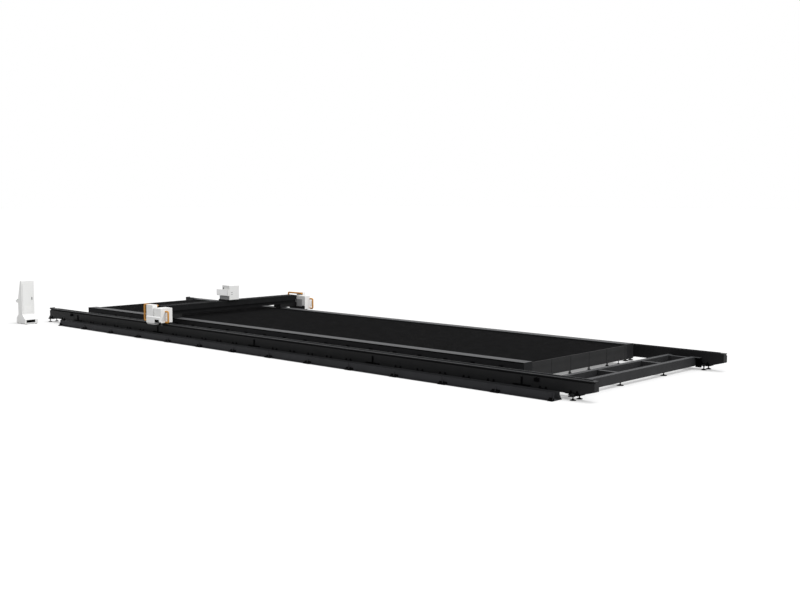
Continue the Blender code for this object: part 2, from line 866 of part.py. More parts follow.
def rightHoop(side, parent):
    start_x = drive_cover_x[1] + seat_gap
    outline = hoopOutline(start_x, start_x, right_hoop_x, right_hoop_z)
    shape = prism(outline, "Y", hoop_near_y, hoop_near_y + hoop_tube)
    piece(sideName(side, "right_hoop"), [shape], orangePaint, parent=parent, far=side == "far")


def yRail(name, middle_z, parent):
    high_x = beam_low_x - seat_gap
    shape = box((high_x - y_rail_depth, high_x), (y_rail_end_y, bed_span_y - y_rail_end_y),
                (middle_z - rail_width / 2, middle_z + rail_width / 2))
    piece(name, [shape], groundSteel, parent=parent)


def yRack(parent):
    high_x = beam_low_x - seat_gap
    shape = box((high_x - y_rack_depth, high_x), (y_rail_end_y, bed_span_y - y_rail_end_y),
                (y_rack_low_z, y_rack_low_z + rack_height))
    piece("y_rack", [shape], groundSteel, parent=parent)


def yCableTray(parent):
    wall = tray_ledge_wall
    low_x = beam_high_x + seat_gap
    high_x = low_x + tray_ledge_width
    low_z = beam_step_z
    high_z = low_z + tray_ledge_height
    outline = [(low_x, low_z), (high_x, low_z), (high_x, high_z), (high_x - wall, high_z),
               (high_x - wall, low_z + wall), (low_x + wall, low_z + wall), (low_x + wall, high_z),
               (low_x, high_z)]
    shape = prism(outline, "Y", tray_ledge_end_y, bed_span_y - tray_ledge_end_y)
    piece("y_cable_tray", [shape], darkPaint, parent=parent)


# ---------- saddle
def yPinionZ():
    tip_radius = y_pinion_module * (y_pinion_teeth / 2 + 1)
    return y_rack_low_z - tip_radius - pinion_clearance


def saddlePlate(parent):
    low_x, high_x = saddle_plate_x
    low_z, high_z = saddle_top_plate_z
    plate = prism([(low_x, saddle_plate_low_z), (high_x, saddle_plate_low_z), (high_x, low_z),
                   (saddle_top_plate_end_x, low_z), (saddle_top_plate_end_x, high_z),
                   (low_x, high_z)], "Y", *saddle_y)
    block_high_x = beam_low_x - y_rail_depth / 2
    near = saddle_y[0] + y_block_inset_y
    far = saddle_y[1] - y_block_inset_y - y_block_length
    blocks = []
    grooves = []
    for z in (y_rail_low_z, y_rail_high_z):
        for y in (near, far):
            blocks.append(box((high_x - weld_depth, block_high_x), (y, y + y_block_length),
                              (z - y_block_height / 2, z + y_block_height / 2)))
        grooves.append(box((beam_low_x - seat_gap * 2 - y_rail_depth, beam_low_x),
                           (saddle_y[0] - weld_depth, saddle_y[1] + weld_depth),
                           (z - rail_width / 2 - seat_gap, z + rail_width / 2 + seat_gap)))
    hole = lathe([(shaft_hole_radius, low_x - weld_depth), (shaft_hole_radius, high_x + weld_depth)],
                 (0, y_pinion_y, yPinionZ()), axis="X")
    piece("saddle_plate", [plate, together(blocks)], darkPaint, cuts=[together(grooves), hole],
          parent=parent)


def saddleCover(parent):
    low_z = saddle_top_plate_z[1] + seat_gap
    low_x, high_x = saddle_cover_x
    outline = [(low_x, low_z), (high_x, low_z), (high_x, saddle_top_z - cover_round),
               (high_x - cover_round, saddle_top_z), (saddle_cover_step_x, saddle_top_z),
               (saddle_cover_step_x, saddle_cover_step_z), (saddle_cover_slant_x, saddle_cover_step_z)]
    shape = prism(outline, "Y", *saddle_y)
    slots = [box((high_x - slot_depth, high_x + slot_depth), slot_y,
                 (z - slot_height / 2, z + slot_height / 2)) for z in slot_z]
    piece("saddle_cover", [shape], whitePaint, cuts=[together(slots)], parent=parent)


def sideHousing(parent):
    low_x, high_x = side_housing_x
    low_z, high_z = side_housing_z
    ys = (side_housing_y, saddle_y[0] - seat_gap)
    outline = [(low_x, ys[1]), (low_x, ys[0] + cover_round), (low_x + cover_round, ys[0]),
               (high_x - cover_round, ys[0]), (high_x, ys[0] + cover_round), (high_x, ys[1])]
    piece("side_housing", [prism(outline, "Z", low_z, high_z)], whitePaint, parent=parent)


def yMotor(parent):
    half = y_motor_size / 2
    high_x = saddle_plate_x[0] - seat_gap
    z = yPinionZ()
    shape = box((high_x - y_motor_length, high_x), (y_pinion_y - half, y_pinion_y + half),
                (z - half, z + half))
    piece("y_motor", [shape], blackPlastic, parent=parent)


def yPinion(parent):
    z = yPinionZ()
    outline = [(y + y_pinion_y, up + z) for y, up in gearOutline(y_pinion_module, y_pinion_teeth)]
    gear = prism(outline, "X", *y_pinion_face_x)
    middle_x = (y_pinion_face_x[0] + y_pinion_face_x[1]) / 2
    shaft = lathe([(shaft_radius, saddle_plate_x[0]), (shaft_radius, middle_x)],
                  (0, y_pinion_y, z), axis="X")
    piece("y_pinion", [gear, shaft], groundSteel, parent=parent,
          point=(middle_x, y_pinion_y, z))


# a channel open to the front, closed above and below around the screw
def zHousing(parent):
    wall = z_housing_wall
    high_x = saddle_plate_x[0] - seat_gap
    low_z, high_z = z_housing_z
    shape = box((z_housing_x, high_x), z_housing_y, z_housing_z)
    inside = box((z_housing_x - wall, high_x - wall), (z_housing_y[0] + wall, z_housing_y[1] - wall),
                 (low_z + wall, high_z - wall))
    bore_radius = screw_journal_radius + screw_gap
    bore = lathe([(bore_radius, low_z - wall), (bore_radius, high_z + wall)], (screw_x, head_y, 0))
    piece("z_housing", [shape], darkPaint, cuts=[inside, bore], parent=parent)


def zScrew(parent):
    low_z = z_housing_z[0] + z_housing_wall + seat_gap
    high_z = z_housing_z[1] - z_housing_wall - seat_gap
    journal = screw_journal_radius
    profile = [(journal, z_housing_z[0]), (journal, low_z), (screw_radius, low_z),
               (screw_radius, high_z), (journal, high_z), (journal, z_housing_z[1])]
    piece("z_screw", [lathe(profile, (screw_x, head_y, 0))], groundSteel, parent=parent,
          point=(screw_x, head_y, (low_z + high_z) / 2))


def zMotor(parent):
    half = z_motor_size / 2
    low_z = z_housing_z[1] + seat_gap
    shape = box((screw_x - half, screw_x + half), (head_y - half, head_y + half),
                (low_z, low_z + z_motor_height))
    piece("z_motor", [shape], blackPlastic, parent=parent)


def zCarriage(parent):
    clear = z_housing_wall + carriage_clearance
    face = box(carriage_face_x, z_housing_y, carriage_face_z)
    block = box((carriage_face_x[1] - weld_depth, saddle_plate_x[0] - seat_gap - clear),
                (z_housing_y[0] + clear, z_housing_y[1] - clear), carriage_z)
    bore_radius = screw_radius + screw_gap
    bore = lathe([(bore_radius, carriage_face_z[0]), (bore_radius, carriage_face_z[1])],
                 (screw_x, head_y, 0))
    piece("z_carriage", [face, block], groundSteel, cuts=[bore], parent=parent)


def cuttingHead(parent):
    high_x = carriage_face_x[0] - seat_gap
    low_x = high_x - head_size
    half = head_size / 2
    outline = [(high_x, head_y - half), (high_x, head_y + half), (low_x + head_round, head_y + half),
               (low_x, head_y + half - head_round), (low_x, head_y - half + head_round),
               (low_x + head_round, head_y - half)]
    piece("cutting_head", [prism(outline, "Z", *head_z)], blackPlastic, parent=parent)


def nozzle(parent):
    x = carriage_face_x[0] - seat_gap - head_size / 2
    high_z = head_z[0] - seat_gap
    collar, middle, tip = nozzle_radii
    collar_z = high_z - nozzle_collar_height
    profile = [(tip, nozzle_tip_z), (middle, (nozzle_tip_z + collar_z) / 2), (collar, collar_z),
               (collar, high_z)]
    piece("nozzle", [lathe(profile, (x, head_y, 0))], brass, parent=parent)


# ---------- operator console
def consoleShell():
    rear, front = console_rear_x, console_front_x
    wall = console_wall
    outline = [(front, console_low_z), (rear, console_low_z), (rear, console_top_z[0]),
               (console_front_top_x, console_top_z[1]), (front, console_knee_z)]
    shape = prism(outline, "Y", *console_y)
    low_z = door_z[0] + door_lip
    high_z = door_z[1] - door_lip
    lean = (console_front_top_x - front) / (console_top_z[1] - console_knee_z)
    slant_wall = wall * math.hypot(1, lean)
    high_front_x = front + slant_wall + (high_z - console_knee_z) * lean
    inside = prism([(rear + wall, low_z), (front + slant_wall, low_z),
                    (front + slant_wall, console_knee_z), (high_front_x, high_z),
                    (rear + wall, high_z)], "Y", door_y[0] + door_lip, door_y[1] - door_lip)
    piece("console_shell", [shape], whitePaint, cuts=[inside])


def consoleBase():
    top_z = console_low_z - seat_gap
    outline = [(base_foot_x[0], base_low_z), (base_foot_x[1] - door_lip, base_low_z),
               (base_foot_x[1], base_rear_z[0]), (base_shoulder_x[1], base_rear_z[1]),
               (console_rear_x, top_z), (console_front_x, top_z),
               (base_shoulder_x[0], base_front_z)]
    shape = prism(outline, "Y", *console_y)
    feet = []
    size = base_foot_size
    for x in (base_foot_x[0] + base_foot_inset, base_foot_x[1] - base_foot_inset - size):
        for y in (console_y[0] + base_foot_inset, console_y[1] - base_foot_inset - size):
            feet.append(box((x, x + size), (y, y + size), (0, base_low_z + weld_depth)))
    slot = box((base_foot_x[1] - door_lip - base_slot_depth, base_foot_x[1] + base_slot_depth),
               base_slot_y, base_slot_z)
    piece("console_base", [shape, together(feet)], whitePaint, cuts=[slot])


def screen():
    low = Vector((console_front_x, console_knee_z))
    high = Vector((console_front_top_x, console_top_z[1]))
    along = high - low
    out = Vector((-along.y, along.x)).normalized()
    corners = []
    for share, lift in ((0, seat_gap), (1, seat_gap), (1, screen_thick), (0, screen_thick)):
        corners.append(low + along * screen_along_shares[share] + out * lift)
    middle = (console_y[0] + console_y[1]) / 2
    shape = prism([tuple(corner) for corner in corners], "Y", middle - screen_half_width,
                  middle + screen_half_width)
    piece("screen", [shape], blackPlastic)


def buttonHole(y):
    top_z = shelf_z[1]
    profile = [(button_hole_radius, top_z - button_hole_depth), (button_hole_radius, top_z + weld_depth)]
    return lathe(profile, (button_x, y, 0))


def keyboardShelf():
    low_z, high_z = shelf_z
    rear = console_front_x - seat_gap
    outline = [(shelf_front_x, low_z + shelf_nose), (shelf_front_x + shelf_nose, low_z),
               (rear, low_z), (rear, high_z), (shelf_front_x, high_z)]
    shape = prism(outline, "Y", console_y[0] + shelf_margin_y, console_y[1] - shelf_margin_y)
    piece("keyboard_shelf", [shape], whitePaint, cuts=[together([buttonHole(estop_y), buttonHole(start_y)])])


def keyboard():
    piece("keyboard", [box(keyboard_x, keyboard_y, keyboard_z)], blackPlastic)


# a mushroom cap over a stem that runs down into the shelf
def button(name, y, cap_radius, finish):
    cap_z = shelf_z[1] + button_rise
    stem_z = shelf_z[1] - button_hole_depth + button_rise
    profile = [(button_stem_radius, stem_z), (button_stem_radius, cap_z), (cap_radius, cap_z),
               (cap_radius, cap_z + button_cap_height)]
    shape = lathe(profile, (button_x, y, 0))
    piece(name, [shape], finish, point=(button_x, y, cap_z))


def rearDoor():
    low_x = console_rear_x + seat_gap
    hinge = (low_x + door_thick + hinge_out, door_y[0] - hinge_out, (door_z[0] + door_z[1]) / 2)
    carrier = pivot("door_hinge", hinge)
    piece("rear_door", [box((low_x, low_x + door_thick), door_y, door_z)], whitePaint, parent=carrier)
    return carrier


def doorHandle(parent):
    low_x = console_rear_x + seat_gap * 2 + door_thick
    high_x = low_x + handle_hub_depth
    hub = lathe([(handle_hub_radius, low_x), (handle_hub_radius, high_x)], (0, handle_y, handle_z),
                axis="X")
    half = handle_bar_width / 2
    bar = box((high_x - handle_bar_depth / 2, high_x + handle_bar_depth / 2),
              (handle_y - half, handle_y + half),
              (handle_z - handle_bar_length + half, handle_z + half))
    piece("door_handle", [hub, bar], blackPlastic, parent=parent, point=(low_x, handle_y, handle_z))


def build():
    clearScene()
    for side in ("near", "far"):
        bed(side)
        xRail(side)
        xRack(side)
        tableSide(side)
    limitSwitch("left_limit_switch", switch_stations_x["left"], False)
    limitSwitch("right_limit_switch", switch_stations_x["right"], False)
    limitSwitch("far_limit_switch", switch_stations_x["right"], True)
    cableTrough()
    tableEnd("left_table_end", table_start_x)
    tableEnd("right_table_end", table_end_x - end_plate_thick)
    slatBanks()
    for number in range(tray_count):
        slagTray(number)
    endFrame()

    gantry = pivot("gantry_slide", ((beam_low_x + beam_high_x) / 2, mid_y, bed_top_z))
    crossbeam(gantry)
    for side in ("near", "far"):
        carriage(side, gantry)
        xMotor(side, gantry)
        xPinion(side, gantry)
        tallCover(side, gantry)
        driveCover(side, gantry)
        leftHoop(side, gantry)
        rightHoop(side, gantry)
    yRail("y_rail_lower", y_rail_low_z, gantry)
    yRail("y_rail_upper", y_rail_high_z, gantry)
    yRack(gantry)
    yCableTray(gantry)

    saddle_mid_y = (saddle_y[0] + saddle_y[1]) / 2
    saddle = pivot("saddle_slide", (beam_low_x, saddle_mid_y, beam_top_z), gantry)
    saddlePlate(saddle)
    saddleCover(saddle)
    sideHousing(saddle)
    yMotor(saddle)
    yPinion(saddle)
    zHousing(saddle)
    zScrew(saddle)
    zMotor(saddle)
    height = pivot("height_slide", (screw_x, head_y, carriage_z[0]), saddle)
    zCarriage(height)
    cuttingHead(height)
    nozzle(height)

    consoleShell()
    consoleBase()
    screen()
    keyboardShelf()
    keyboard()
    button("estop_button", estop_y, estop_radius, redPlastic)
    button("start_button", start_y, start_radius, greenPlastic)
    doorHandle(rearDoor())


build()
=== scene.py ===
import math

import bmesh
import bpy
from mathutils import Matrix, Vector


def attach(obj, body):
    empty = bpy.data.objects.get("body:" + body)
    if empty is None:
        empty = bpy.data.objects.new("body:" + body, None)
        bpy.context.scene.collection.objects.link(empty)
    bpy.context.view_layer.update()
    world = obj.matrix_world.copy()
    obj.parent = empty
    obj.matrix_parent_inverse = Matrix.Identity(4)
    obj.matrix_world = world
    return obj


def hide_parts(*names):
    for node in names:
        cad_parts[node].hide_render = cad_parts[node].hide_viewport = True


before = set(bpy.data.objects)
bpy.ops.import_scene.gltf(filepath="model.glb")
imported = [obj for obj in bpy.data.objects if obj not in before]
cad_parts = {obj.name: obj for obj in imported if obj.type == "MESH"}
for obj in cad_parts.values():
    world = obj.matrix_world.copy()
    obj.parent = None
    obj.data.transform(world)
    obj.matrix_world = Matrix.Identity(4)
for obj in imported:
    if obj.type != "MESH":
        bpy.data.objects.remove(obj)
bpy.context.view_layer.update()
print("stage: frame loaded")

# the machine's own drawing frame starts at the left end of the near bed
shift = Vector((-13.9075, -3.2095, 0.0))
spanY = 7.484
bothSides = ("near", "far")
creaseAngle = 35


# a place in the machine's own frame, in the shared frame
def at(x, y, z):
    return Vector((x, y, z)) + shift


# mirrors a near side piece to the far side
def acrossBeds(bm):
    mirror = Matrix.Translation((0, spanY + 2 * shift.y, 0)) @ Matrix.Diagonal((1, -1, 1, 1))
    bmesh.ops.transform(bm, verts=bm.verts, matrix=mirror)
    bmesh.ops.reverse_faces(bm, faces=bm.faces)


# camera and light
cameraFacts = {"lens": 49.80, "place": (44.561, -24.741, 5.486), "pitch": 84.6652, "yaw": 43.3177,
               "sensor": 36.0, "clip": 900.0}
lightFacts = {"sky": 0.68,
              "suns": {"overhead": {"energy": 1.35, "toward": (0.15, 0.25, 0.95), "spread": 30.0},
                       "side": {"energy": 1.40, "toward": (0.93, 0.05, 0.36), "spread": 50.0},
                       "fill": {"energy": 0.16, "toward": (0.1, -0.95, 0.3), "spread": 60.0}}}


def makeCamera(facts):
    data = bpy.data.cameras.new("camera")
    data.lens = facts["lens"]
    data.sensor_width = facts["sensor"]
    data.clip_end = facts["clip"]
    cam = bpy.data.objects.new("camera", data)
    cam.location = at(*facts["place"])
    cam.rotation_euler = (math.radians(facts["pitch"]), 0, math.radians(facts["yaw"]))
    bpy.context.scene.collection.objects.link(cam)
    bpy.context.scene.camera = cam


# one where the camera, a reflection or a clear surface looks at it
def seenRays(tree):
    rays = tree.nodes.new("ShaderNodeLightPath")
    last = rays.outputs["Is Camera Ray"]
    for kind in ("Is Glossy Ray", "Is Transmission Ray"):
        both = tree.nodes.new("ShaderNodeMath")
        both.operation = "MAXIMUM"
        tree.links.new(last, both.inputs[0])
        tree.links.new(rays.outputs[kind], both.inputs[1])
        last = both.outputs[0]
    return last


def makeLights(facts):
    scene = bpy.context.scene
    scene.view_settings.view_transform = "Standard"
    scene.view_settings.look = "None"
    world = bpy.data.worlds.new("studio")
    scene.world = world
    world.use_nodes = True
    nodes = world.node_tree.nodes
    links = world.node_tree.links
    sky = nodes["Background"]
    sky.inputs["Color"].default_value = (1, 1, 1, 1)
    sky.inputs["Strength"].default_value = facts["sky"]
    white = nodes.new("ShaderNodeBackground")
    white.inputs["Color"].default_value = (1, 1, 1, 1)
    white.inputs["Strength"].default_value = 1.0
    mix = nodes.new("ShaderNodeMixShader")
    links.new(seenRays(world.node_tree), mix.inputs[0])
    links.new(sky.outputs[0], mix.inputs[1])
    links.new(white.outputs[0], mix.inputs[2])
    links.new(mix.outputs[0], nodes["World Output"].inputs["Surface"])
    for name, sun in facts["suns"].items():
        light = bpy.data.lights.new(name, "SUN")
        light.energy = sun["energy"]
        light.angle = math.radians(sun["spread"])
        lamp = bpy.data.objects.new(name, light)
        lamp.rotation_euler = Vector(sun["toward"]).to_track_quat("Z", "Y").to_euler()
        scene.collection.objects.link(lamp)


makeCamera(cameraFacts)
makeLights(lightFacts)
print("stage: camera and light")


# noise scales and details, the noise's range, where edges wear, what counts as looking up for the painted top
# highlight
paintFacts = {"broad": (3.0, 6.0), "fineDetail": 4.0, "range": (0.3, 0.7), "edge": (0.52, 0.62),
              "up": (0.90, 0.98), "roughSpread": 0.08, "reliefDeep": 0.002}


# painted highlight: mixes a paler colour into the faces that look up, standing in for the light that falls on
# them
def paintedTopHighlight(tree, colour, top):
    surface = tree.nodes.new("ShaderNodeNewGeometry")
    parts = tree.nodes.new("ShaderNodeSeparateXYZ")
    tree.links.new(surface.outputs["Normal"], parts.inputs[0])
    up = tree.nodes.new("ShaderNodeMapRange")
    up.inputs["From Min"].default_value, up.inputs["From Max"].default_value = paintFacts["up"]
    tree.links.new(parts.outputs["Z"], up.inputs["Value"])
    mix = tree.nodes.new("ShaderNodeMix")
    mix.data_type = "RGBA"
    mix.inputs["B"].default_value = (*top, 1)
    tree.links.new(up.outputs[0], mix.inputs["Factor"])
    tree.links.new(colour, mix.inputs["A"])
    return mix.outputs["Result"]


# materials: a base colour broken up by noise, worn edges and fine bump
def paint(name, colour, rough=0.5, metal=0.0, spec=0.3, vary=0.12, grain=90.0, bump=0.05, wear=0.0,
          wearColour=(0.3, 0.3, 0.3), streak=1.0, coat=0.0, top=None):
    mat = bpy.data.materials.new(name)
    mat.use_nodes = True
    nodes = mat.node_tree.nodes
    links = mat.node_tree.links
    shader = nodes["Principled BSDF"]
    shader.inputs["Metallic"].default_value = metal
    shader.inputs["Specular IOR Level"].default_value = spec
    shader.inputs["Coat Weight"].default_value = coat
    coords = nodes.new("ShaderNodeTexCoord")
    stretch = nodes.new("ShaderNodeMapping")
    stretch.inputs["Scale"].default_value = (1, streak, 1)
    links.new(coords.outputs["Object"], stretch.inputs["Vector"])
    broad = nodes.new("ShaderNodeTexNoise")
    broad.inputs["Scale"].default_value, broad.inputs["Detail"].default_value = paintFacts["broad"]
    links.new(stretch.outputs[0], broad.inputs["Vector"])
    fine = nodes.new("ShaderNodeTexNoise")
    fine.inputs["Scale"].default_value = grain
    fine.inputs["Detail"].default_value = paintFacts["fineDetail"]
    links.new(stretch.outputs[0], fine.inputs["Vector"])
    ramp = nodes.new("ShaderNodeValToRGB")
    low = tuple(c * (1 - vary) for c in colour)
    high = tuple(min(1.0, c * (1 + vary)) for c in colour)
    for stop, place, shade in zip(ramp.color_ramp.elements, paintFacts["range"], (low, high)):
        stop.position = place
        stop.color = (*shade, 1)
    links.new(broad.outputs["Fac"], ramp.inputs["Fac"])
    last = ramp.outputs["Color"]
    # painted highlight: faces that look up get the paler top colour
    if top:
        last = paintedTopHighlight(mat.node_tree, last, top)
    if wear > 0:
        shape = nodes.new("ShaderNodeNewGeometry")
        edge = nodes.new("ShaderNodeMapRange")
        edge.inputs["From Min"].default_value, edge.inputs["From Max"].default_value = paintFacts["edge"]
        links.new(shape.outputs["Pointiness"], edge.inputs["Value"])
        amount = nodes.new("ShaderNodeMath")
        amount.operation = "MULTIPLY"
        amount.inputs[1].default_value = wear
        links.new(edge.outputs[0], amount.inputs[0])
        worn = nodes.new("ShaderNodeMix")
        worn.data_type = "RGBA"
        worn.inputs["B"].default_value = (*wearColour, 1)
        links.new(amount.outputs[0], worn.inputs["Factor"])
        links.new(last, worn.inputs["A"])
        last = worn.outputs["Result"]
    links.new(last, shader.inputs["Base Color"])
    roughness = nodes.new("ShaderNodeMapRange")
    roughness.inputs["To Min"].default_value = max(0.05, rough - paintFacts["roughSpread"])
    roughness.inputs["To Max"].default_value = min(1.0, rough + paintFacts["roughSpread"])
    links.new(fine.outputs["Fac"], roughness.inputs["Value"])
    links.new(roughness.outputs[0], shader.inputs["Roughness"])
    relief = nodes.new("ShaderNodeBump")
    relief.inputs["Strength"].default_value = bump
    relief.inputs["Distance"].default_value = paintFacts["reliefDeep"]
    links.new(fine.outputs["Fac"], relief.inputs["Height"])
    links.new(relief.outputs[0], shader.inputs["Normal"])
    return mat


# the paints; each begins with its base colour; the top colours of bed, table and frame are painted highlight
# on the faces that look up
mats = {
    "bed": paint("bedPaint", (0.010, 0.0102, 0.0108), rough=0.48, spec=0.10, bump=0.03,
                 top=(0.020, 0.0205, 0.022)),
    "table": paint("tablePaint", (0.010, 0.0102, 0.011), rough=0.6, spec=0.10, bump=0.04,
                   top=(0.078, 0.079, 0.082)),
    "tableEnd": paint("tableEndPaint", (0.0115, 0.0117, 0.0122), rough=0.65, spec=0.10, wear=0.04),
    "slat": paint("slatSteel", (0.0095, 0.0095, 0.010), rough=0.75, spec=0.1, vary=0.3, grain=40, bump=0.1),
    "pan": paint("panSteel", (0.006, 0.006, 0.006), rough=0.8, spec=0.05, vary=0.4, grain=30, bump=0.1),
    "beam": paint("beamPaint", (0.0125, 0.0127, 0.0133), rough=0.8, spec=0.04),
    "carriage": paint("carriagePaint", (0.007, 0.007, 0.0075), rough=0.6, spec=0.10, wear=0.03),
    "cover": paint("coverPaint", (0.80, 0.80, 0.79), rough=0.38, spec=0.45, vary=0.012, grain=160, bump=0.02),
    "hoop": paint("hoopPaint", (0.58, 0.265, 0.045), rough=0.45, spec=0.3, vary=0.05, bump=0.02),
    "steel": paint("groundSteel", (0.10, 0.10, 0.105), rough=0.35, metal=1.0, vary=0.08, grain=220,
                   streak=8.0),
    "rail": paint("railSteel", (0.045, 0.046, 0.048), rough=0.5, metal=1.0, vary=0.05, grain=60, bump=0.0),
    "frame": paint("framePaint", (0.021, 0.0214, 0.0226), rough=0.6, spec=0.10, top=(0.062, 0.063, 0.066)),
    "trough": paint("troughPaint", (0.024, 0.0245, 0.027), rough=0.6, spec=0.12, wear=0.04),
    "black": paint("blackPlastic", (0.008, 0.008, 0.009), rough=0.5, spec=0.2, vary=0.1, grain=300,
                   bump=0.05),
    "brass": paint("turnedBrass", (0.66, 0.42, 0.16), rough=0.28, metal=1.0, vary=0.05, grain=260,
                   streak=6.0),
    "red": paint("redCap", (0.58, 0.02, 0.012), rough=0.32, spec=0.5, vary=0.04, coat=0.3),
    "green": paint("greenCap", (0.02, 0.36, 0.07), rough=0.32, spec=0.5, vary=0.04, coat=0.3),
    "zinc": paint("zincSteel", (0.30, 0.31, 0.32), rough=0.4, metal=1.0, vary=0.15, grain=120),
    "panel": paint("panelGrey", (0.30, 0.31, 0.32), rough=0.5, spec=0.3, vary=0.03),
    # painted shade: a near black for sheets that stand in for the dark inside openings
    "shade": paint("paintedShadeBlack", (0.003, 0.003, 0.003), rough=0.9, spec=0.0, vary=0.05),
    "iron": paint("blackIron", (0.0022, 0.0022, 0.0024), rough=0.8, spec=0.02, vary=0.2, bump=0.05),
    "rack": paint("oiledRack", (0.010, 0.010, 0.0105), rough=0.6, spec=0.05, vary=0.1),
    # painted shade: a grey for sheets that stand in for shade in recesses and under overhangs
    "inner": paint("paintedShadeGrey", (0.32, 0.32, 0.325), rough=0.6, spec=0.1, vary=0.04),
    # painted light: a white that glows a little though it is no lamp
    "glowWhite": paint("paintedGlowWhite", (0.90, 0.90, 0.90), rough=0.35, spec=0.4, vary=0.01, bump=0.0),
    # painted shade: a pale grey for the hoops' shadow triangles on the covers; the door's gasket uses it too
    "hoopShadeAndGasket": paint("hoopShadeAndGasketGrey", (0.62, 0.62, 0.62), rough=0.45, spec=0.3, vary=0.02),
    "glass": paint("screenGlass", (0.01, 0.012, 0.015), rough=0.12, spec=0.5, vary=0.05, bump=0.0),
    "key": paint("keyCaps", (0.05, 0.05, 0.055), rough=0.55, spec=0.3, vary=0.05),
}
# which material slot a look belongs to, and which look each node of the frame gets
nodesOf = {
    "bed": ("near_bed", "far_bed"),
    "rail": ("near_x_rail", "far_x_rail", "y_rail_upper", "y_rail_lower"),
    "black": ("left_limit_switch", "right_limit_switch", "far_limit_switch", "screen", "keyboard",
              "near_x_motor", "far_x_motor", "y_motor", "z_motor", "cutting_head", "door_handle"),
    "trough": ("cable_trough",),
    "table": ("near_table_side", "far_table_side"),
    "tableEnd": ("left_table_end", "right_table_end"),
    "pan": ("slag_tray_1", "slag_tray_2"),
    "frame": ("end_frame",),
    "cover": ("console_shell", "console_base", "keyboard_shelf", "near_tall_cover", "far_tall_cover",
              "near_drive_cover", "far_drive_cover", "saddle_cover", "side_housing", "rear_door"),
    "beam": ("crossbeam", "y_cable_tray"),
    "carriage": ("near_carriage", "far_carriage", "saddle_plate"),
    "steel": ("near_x_pinion", "far_x_pinion", "y_pinion", "z_screw", "y_rack"),
    "panel": ("z_housing",),
    "zinc": ("z_carriage",),
    "brass": ("nozzle",),
    "red": ("estop_button",),
    "green": ("start_button",),
    "rack": ("near_x_rack", "far_x_rack"),
    "slat": ("slat_bank_1", "slat_bank_2", "slat_bank_3", "slat_bank_4"),
    "hoop": ("near_left_hoop", "near_right_hoop", "far_left_hoop", "far_right_hoop"),
}
paintedGlowStrength = 0.16


# painted light: a little emission makes the two brightest sheets glow though they are no lamps
def addPaintedGlow(mat, strength):
    shader = mat.node_tree.nodes["Principled BSDF"]
    shader.inputs["Emission Color"].default_value = (1.0, 1.0, 1.0, 1.0)
    shader.inputs["Emission Strength"].default_value = strength


def dressNodes(groups):
    for look, names in groups.items():
        for name in names:
            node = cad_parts[name]
            node.data.materials.clear()
            node.data.materials.append(mats[look])


addPaintedGlow(mats["glowWhite"], paintedGlowStrength)
dressNodes(nodesOf)
print("stage: materials")


# mesh helpers; every shape is drawn in the machine's own frame and shifted once
def boxInto(bm, xs, ys, zs, bevel=0.0, segments=2):
    made = bmesh.ops.create_cube(bm, size=1.0)
    low, high = (Vector(corner) for corner in zip(xs, ys, zs))
    place = Matrix.Translation((low + high) / 2 + shift) @ Matrix.Diagonal((*(high - low), 1))
    bmesh.ops.transform(bm, verts=made["verts"], matrix=place)
    if bevel > 0:
        edges = {edge for vert in made["verts"] for edge in vert.link_edges}
        bmesh.ops.bevel(bm, geom=list(edges), offset=bevel, offset_type="OFFSET", segments=segments,
                        profile=0.5, affect="EDGES", material=-1)


# faces between rings of points, closed at both ends
def skinInto(bm, rings):
    sides = len(rings[0])
    for low, high in zip(rings, rings[1:]):
        for k in range(sides):
            bm.faces.new((low[k], low[(k + 1) % sides], high[(k + 1) % sides], high[k]))
    bm.faces.new(rings[0][::-1])
    bm.faces.new(rings[-1])


# a turned shape from pairs of radius and height
def turnInto(bm, profile, place, axis="Z", sides=24):
    spot = {"Z": Matrix.Identity(4), "X": Matrix.Rotation(math.pi / 2, 4, "Y"),
            "Y": Matrix.Rotation(-math.pi / 2, 4, "X")}[axis]
    move = Matrix.Translation(Vector(place) + shift) @ spot
    rings = []
    for radius, height in profile:
        ring = [bm.verts.new(move @ Vector((radius * math.cos(a), radius * math.sin(a), height)))
                for a in (math.tau * k / sides for k in range(sides))]
        rings.append(ring)
    skinInto(bm, rings)


# a plain round bar, plug or bolt
def rodInto(bm, radius, low, high, place, axis="Z", sides=12):
    turnInto(bm, [(radius, low), (radius, high)], place, axis, sides)


# radius and height pairs from shares of a radius
def ringsOf(shape, radius, low=0.0):
    return [(radius * share, low + up) for share, up in shape]


# a flat outline drawn out along an axis; its pairs are the other two axes in order
def extrudeInto(bm, outline, axis, low, high):
    spots = {"X": lambda a, b, c: (c, a, b), "Y": lambda a, b, c: (a, c, b), "Z": lambda a, b, c: (a, b, c)}
    spot = spots[axis]
    near = [bm.verts.new(at(*spot(a, b, low))) for a, b in outline]
    far = [bm.verts.new(at(*spot(a, b, high))) for a, b in outline]
    count = len(outline)
    faces = [bm.faces.new(near), bm.faces.new(far[::-1])]
    for k in range(count):
        faces.append(bm.faces.new((near[(k + 1) % count], near[k], far[k], far[(k + 1) % count])))
    bmesh.ops.recalc_face_normals(bm, faces=faces)


# a round tube along a flat path given in machine points
def tubeInto(bm, path, radius, sides=16):
    points = [at(*spot) for spot in path]
    rings = []
    for k, point in enumerate(points):
        before = points[max(k - 1, 0)]
        after = points[min(k + 1, len(points) - 1)]
        along = (after - before).normalized()
        side = Vector((0, 1, 0))
        up = along.cross(side).normalized()
        rings.append([bm.verts.new(point + side * radius * math.cos(a) + up * radius * math.sin(a))
                      for a in (math.tau * s / sides for s in range(sides))])
    skinInto(bm, rings)


